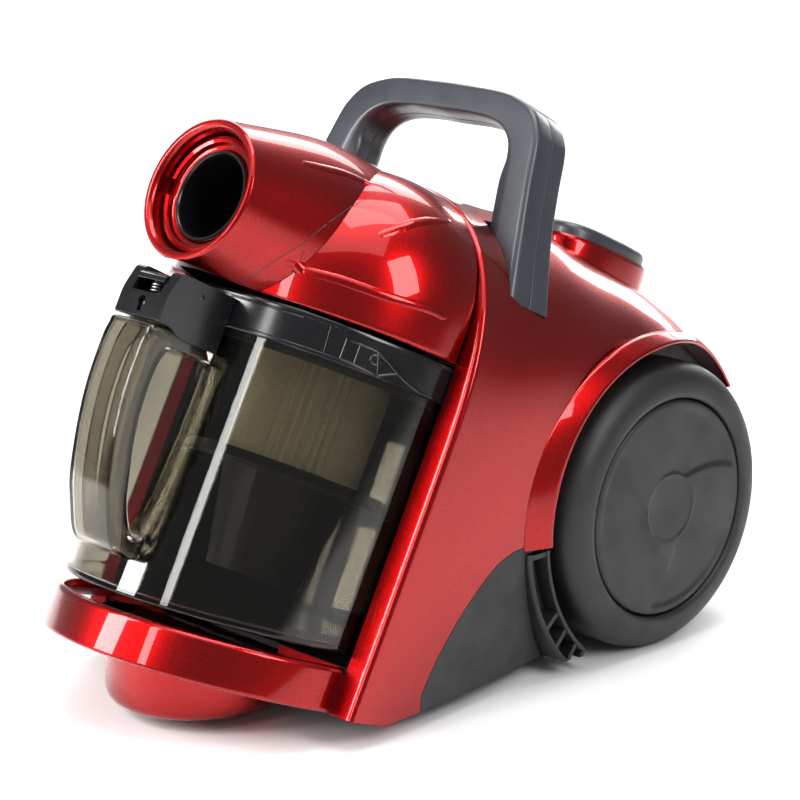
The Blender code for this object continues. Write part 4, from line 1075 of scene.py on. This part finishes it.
def cup_column(name, r, depth, high, look, edge):
    """Round column on the sloping base, with a rounded lower edge."""
    rings = []
    for k in range(6):
        a = 0.5 * pi * k / 5
        inset, lift = edge * (1 - sin(a)), edge * (1 - cos(a))
        ring = []
        for t in circle(180):
            x, s = (r - inset) * cos(t), (r - inset) * sin(t)
            ring.append(tilt(x, s, base_c(s, depth + lift)))
        rings.append(ring)
    rings.append([tilt(r * cos(t), r * sin(t), high) for t in circle(180)])
    return loft(name, rings, look, angle=35)


def cup_turn(name, profile, look, steps=160, angle=35):
    return revolve(name, profile, tilt(0, 0, 0), C_DIR, X_DIR, steps, look, angle)


def make_lid():
    rim = LID_R
    profile = [(rim - 3.4, LID_LOW), (rim - 0.6, LID_LOW), (rim, LID_LOW + 0.5), (rim, LID_LOW + 2.0),
               (rim - 0.5, LID_LOW + 2.4), (rim - 0.5, LID_TOP - 3.2), (rim - 0.1, LID_TOP - 2.9),
               (rim, LID_TOP - 1.2), (rim - 0.4, LID_TOP - 0.4), (rim - 1.4, LID_TOP), (0, LID_TOP),
               (0, LID_TOP - 3), (rim - 3.4, LID_TOP - 3)]
    ride(cup_turn("lid_cover", profile, GLOSS), "dust_cup", "black_gloss", "lid_ring")
    make_bayonet()
    ride(lid_line("lid_seam", [(-11.4, 16.6), (-10.7, 1.5)], 0.3), "dust_cup", "black_gloss")


def make_bayonet():
    """Raised outlines of the bayonet window: a frame, a bar, a round pip and a ramp beside it."""
    lines = {
        "frame": ([(-5.4, 2.6), (6.9, 1.0), (4.8, 12.6), (-5.4, 13.4), (-5.4, 2.6)], 0.9),
        "bar": ([(-0.9, 2.4), (-0.9, 13.0)], 0.8),
        "ramp": ([(4.8, 12.4), (9.4, 9.4), (13.0, 6.0), (17.4, 3.2), (22.3, 1.3)], 1.0),
        "ramp_low": ([(6.9, 1.0), (10.6, 4.2), (13.0, 6.0)], 0.8),
        "slot_edge": ([(-52.0, 1.7), (-17.0, 1.7)], 0.6),
        "top_edge": ([(-46.0, 16.2), (-20.0, 16.2)], 0.6),
    }
    pip = [(4.9 + 1.5 * cos(radians(d)), 8.4 + 2.5 * sin(radians(d))) for d in range(0, 361, 20)]
    lines["pip"] = (pip, 0.8)
    for word, (points, r) in lines.items():
        ride(lid_line(f"lid_{word}", points, r), "dust_cup", "black_gloss")


def lid_line(name, points, r):
    """Thin bead on the lid's wall through (degrees, mm above the lid's lower edge)."""
    path = []
    for (d0, u0), (d1, u1) in zip(points, points[1:]):
        steps = max(1, int(abs(d1 - d0) / 1.5))
        path += [(d0 + (d1 - d0) * i / steps, u0 + (u1 - u0) * i / steps) for i in range(steps)]
    path.append(points[-1])
    line = []
    for turn, up in path:
        a = radians(BAYONET_AT + turn)
        line.append(tilt((LID_R - 0.5) * cos(a), (LID_R - 0.5) * sin(a), LID_LOW + up))
    return bead(name, line, r, GLOSS)


def bead(name, line, r, look, around=8):
    """Round bead along a line of points."""
    rings = []
    for i, p in enumerate(line):
        ahead = (line[min(i + 1, len(line) - 1)] - line[max(i - 1, 0)]).normalized()
        side = ahead.cross(C_DIR if abs(ahead.dot(C_DIR)) < 0.8 else X_DIR).normalized()
        up = side.cross(ahead)
        rings.append([p + (side * cos(a) + up * sin(a)) * (r * MM)
                      for a in circle(around)])
    return loft(name, rings, look, angle=60)


def surface_line(name, points, r, proud, look, *surfaces):
    """Bead along (x, s, c) points that stands `proud` mm out of the nearest of the surfaces."""
    graph = bpy.context.evaluated_depsgraph_get()
    trees = [BVHTree.FromObject(obj, graph) for obj in surfaces]
    line = []
    for i in range(61):
        p = tilt(*curve_at(points, i / 60))
        found = [tree.find_nearest(p) for tree in trees]
        place, normal, _, _ = min(found, key=lambda hit: hit[3])
        fade = sin(pi * i / 60) ** 0.4
        line.append(place - normal * ((r - proud * fade) * MM))
    return bead(name, line, r, look, 20)


# outer edge s, c and inner edge s, c, from the cup's foot to the latch block
GRIP_ROWS = [(-96.5, 8, -96.5, 22), (-104, 6.5, -104, 18), (-116, 10, -110.5, 24), (-125, 24, -116.5, 34),
             (-132, 38, -121, 47), (-138.5, 61, -126, 64), (-142.5, 83, -129.3, 84),
             (-143.5, 104, -129.5, 102), (-142.6, 117, -126, 112.5), (-137, 123.4, -118, 115),
             (-97, 124, -97, 115)]


def grip_ring(t, half, inset):
    so, co, si, ci = curve_at(GRIP_ROWS, t)
    width = hypot(si - so, ci - co)
    us, uc = (si - so) / width, (ci - co) / width
    section = corners((inset, -half + inset), (width - inset, half - inset))
    section = rounded(section, [2.5, 1.2, 1.2, 2.5], 4)
    return [tilt(x, so + us * a, co + uc * a) for a, x in section]


def make_grip():
    """Clear D-shaped grip: a hollow channel that bends from the cup's foot to the latch block."""
    steps = 60
    grip = loft("grip_clear", [grip_ring(i / steps, 17, 0) for i in range(steps + 1)], SMOKE, angle=40)
    core = loft("core", [grip_ring(0.02 + 0.96 * i / steps, 17, 2.2) for i in range(steps + 1)], SMOKE,
                angle=40)
    combine(grip, [core])
    soften(grip, 40)
    ride(grip, "dust_cup", "smoke_clear", "cup_handle")
    low, high = 0.10, 0.92
    for k, x in enumerate((-6.5, 6.5)):
        rings = []
        for i in range(41):
            so, co, si, ci = curve_at(GRIP_ROWS, low + (high - low) * i / 40)
            section = corners((x - 0.7, 0.22), (x + 0.7, 0.8))
            rings.append([tilt(px, so + (si - so) * f, co + (ci - co) * f) for px, f in section])
        ride(loft(f"grip_rib_{k}", rings, SMOKE), "dust_cup", "smoke_clear")


def make_latch():
    """Latch housing over the grip, its thumb lever and keyhole."""
    outline = [(-140, 124.4), (-140, 138), (-136, 152), (-96, 152), (-96, 121), (-124, 121), (-131, 124.4)]
    ring = [tilt(-18, s, c) for s, c in rounded(outline, [1.5, 3, 3, 0, 0, 4, 2], 4)]
    body = prism("latch_housing", ring, X_DIR * (36 * MM), GLOSS)
    combine(body, [above_base("lid_room", -5, LID_R + SEAM, 200, 128)])
    combine(body, [tilted_block("slot", (-11, -150, 138), (11, -112, 170))])
    combine(body, [tilted_block("under", (-15.4, -136, 100), (15.4, -94, 124.2))])
    combine(body, [rod("pin_hole", 1.55, -30, 30, tilt(0, LATCH_S, LATCH_C), X_DIR, C_DIR, 24)])
    key = tilted_block("key", (-1.7, -145, 127.5), (1.7, -137.5, 133))
    combine(body, [key, rod("key_hole", 2.8, -145, -137.5, tilt(0, 0, 133), S_DIR, X_DIR, 32)])
    bevel(body, 0.7)
    ride(body, "dust_cup", "black_gloss", "latch_block")
    lever_outline = [(-139.5, 144.6), (-139.5, 147.2), (-136, 149.4), (-127, 148.4), (-119, 148.9),
                     (-114, 148.5), (-113.5, 144.5), (-121, 143.5)]
    ring = [tilt(-10.5, s, c) for s, c in rounded(lever_outline, 1.3, 4)]
    lever = prism("thumb_lever", ring, X_DIR * (21 * MM), GLOSS)
    combine(lever, [rod("boss", 3.6, -10.5, 10.5, tilt(0, LATCH_S, LATCH_C), X_DIR, C_DIR, 32)], "UNION")
    combine(lever, [rod("pin_hole", 1.6, -30, 30, tilt(0, LATCH_S, LATCH_C), X_DIR, C_DIR, 24)])
    bevel(lever, 0.5)
    ride(lever, "latch", "black_gloss", "latch_lever")


def make_filter():
    """Pleated cartridge on a dark cyclone with windows."""
    teeth, low, high = 44, 82.0, LID_TOP - 3.3 - 8
    rings = []
    for c in (low, high):
        ring = []
        for j, a in enumerate(circle(teeth * 4)):
            r = FILTER_R - (4.4, 2.2, 0, 2.2)[j % 4]
            ring.append(tilt(r * cos(a), r * sin(a), c))
        rings.append(ring)
    pleats = loft("pleats", rings, PAPER, angle=20)
    combine(pleats, [rod("bore", 22, low - 5, high + 5, tilt(0, 0, 0), C_DIR, X_DIR, 48)])
    soften(pleats, 20)
    ride(pleats, "dust_cup", "filter_paper", "pleated_filter")


def make_spring(name, node, body, base, axis, coil_r, wire_r, low, high, turns):
    """Coil of round wire wound `turns` times about the axis, from `low` to `high` along it."""
    side, steps = X_DIR, turns * 20
    other = axis.cross(side)
    rings = []
    for i in range(steps + 1):
        t = i / steps
        a = 2 * pi * turns * t
        radial = side * cos(a) + other * sin(a)
        level = low + wire_r + (high - low - 2 * wire_r) * t
        p = base + radial * (coil_r * MM) + axis * (level * MM)
        rings.append([p + (radial * cos(b) + axis * sin(b)) * (wire_r * MM)
                      for b in circle(10)])
    coil = loft(name, rings, STEEL, angle=60)
    ride(coil, body, "steel", node)
    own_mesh(coil)


def make_springs():
    for side, label in PEDALS:
        centre = pedal_middle(side)
        make_spring(f"{label}_coil", f"{label}_spring", "housing", centre, N_DIR, 6.0,
                    0.6, -11.1, 7.4, 5)
    make_spring("latch_coil", "latch_spring", "dust_cup", tilt(0, -133, 0), C_DIR, 3.0, 0.5,
                138.3, 144.2, 3)


# ---------------------------------------------------------------- carried-over solids
def finish_cad():
    """Gives every CAD solid that stays its procedural material."""
    looks = {"steel": STEEL, "black_matte": MATTE, "chassis_grey": CHASSIS, "filter_pad": FELT,
             "seal_rubber": SEAL, "impeller_alu": ALLOY, "copper": COPPER, "tyre_rubber": RUBBER,
             "black_gloss": GLOSS, "shell_red": RED, "handle_slate": SLATE, "smoke_clear": SMOKE,
             "filter_paper": PAPER,}
    for row in frame["record"]["subparts"]:
        node = frame["nodes"][row["node"]]
        if node.hide_render:
            continue
        node.data.materials.clear()
        node.data.materials.append(looks[row["material_slot"]])
        soften(node, 30)


# ---------------------------------------------------------------- floor, lights and camera
def glow(name, size, place, aim, power, tint=(1, 1, 1)):
    light = bpy.data.lights.new(name, "AREA")
    light.shape = "RECTANGLE"
    light.size, light.size_y = size
    light.energy = power
    light.color = tint
    obj = bpy.data.objects.new(name, light)
    bpy.context.scene.collection.objects.link(obj)
    obj.location = place
    obj.rotation_euler = (Vector(aim) - Vector(place)).to_track_quat("-Z", "Y").to_euler()


def make_studio():
    m = Nodes("studio_floor")
    m.finish(m.ramp(m.noise(3, 2.0), (0.86, 0.86, 0.86), (0.90, 0.90, 0.90)), None, None, Roughness=0.6)
    size = 6.0
    floor = make("floor", [(-size, -size, 0), (size, -size, 0), (size, size, 0), (-size, size, 0)],
                 [(0, 1, 2, 3)], m.material)
    world = bpy.data.worlds.new("studio")
    world.use_nodes = True
    back = world.node_tree.nodes["Background"]
    back.inputs["Color"].default_value = (1, 1, 1, 1)
    back.inputs["Strength"].default_value = 0.26
    bpy.context.scene.world = world
    glow("left_strip", (0.34, 0.90), (-0.55, -1.10, 0.72), (0, -0.1, 0.13), 22)
    glow("pillar_strip", (0.12, 0.80), (0.02, -1.18, 0.76), (0, -0.1, 0.15), 4)
    glow("right_box", (0.45, 0.60), (1.1, -0.12, 0.92), (0, -0.02, 0.18), 9)
    glow("top_box", (0.6, 0.9), (0.05, 0.2, 1.42), (0, 0.05, 0.15), 11)
    glow("rear_box", (0.5, 0.4), (-0.3, 1.35, 0.5), (0, 0.1, 0.15), 5)
    glow("far_wash", (3.0, 3.0), (-2.2, 2.4, 2.0), (-2.2, 2.4, 0), 150)
    glow("floor_fill", (1.6, 1.6), (0.3, -0.4, 2.2), (0, 0, 0), 18)


def make_camera():
    """Three-quarter view of the front and the +X side, a little from above."""
    azimuth, elevation, distance = radians(45.72), radians(15.01), 1.45721
    back = Vector((sin(azimuth) * cos(elevation), -cos(azimuth) * cos(elevation), sin(elevation)))
    data = bpy.data.cameras.new("camera")
    data.sensor_width = 36
    data.lens = 115.84
    data.clip_start, data.clip_end = 0.05, 30
    camera = bpy.data.objects.new("camera", data)
    bpy.context.scene.collection.objects.link(camera)
    camera.location = at(0, 0, 140) + back * distance
    camera.rotation_mode = "QUATERNION"
    camera.rotation_quaternion = (-back).to_track_quat("-Z", "Y")
    bpy.context.scene.camera = camera


bpy.context.scene.view_settings.view_transform = "Standard"
make_camera()
make_studio()
make_shell()
make_chassis()
make_handle()
make_pedals()
make_wheels()
make_head()
make_tray()
make_caster()
make_cup()
make_lid()
make_grip()
make_latch()
make_filter()
make_springs()
finish_cad()
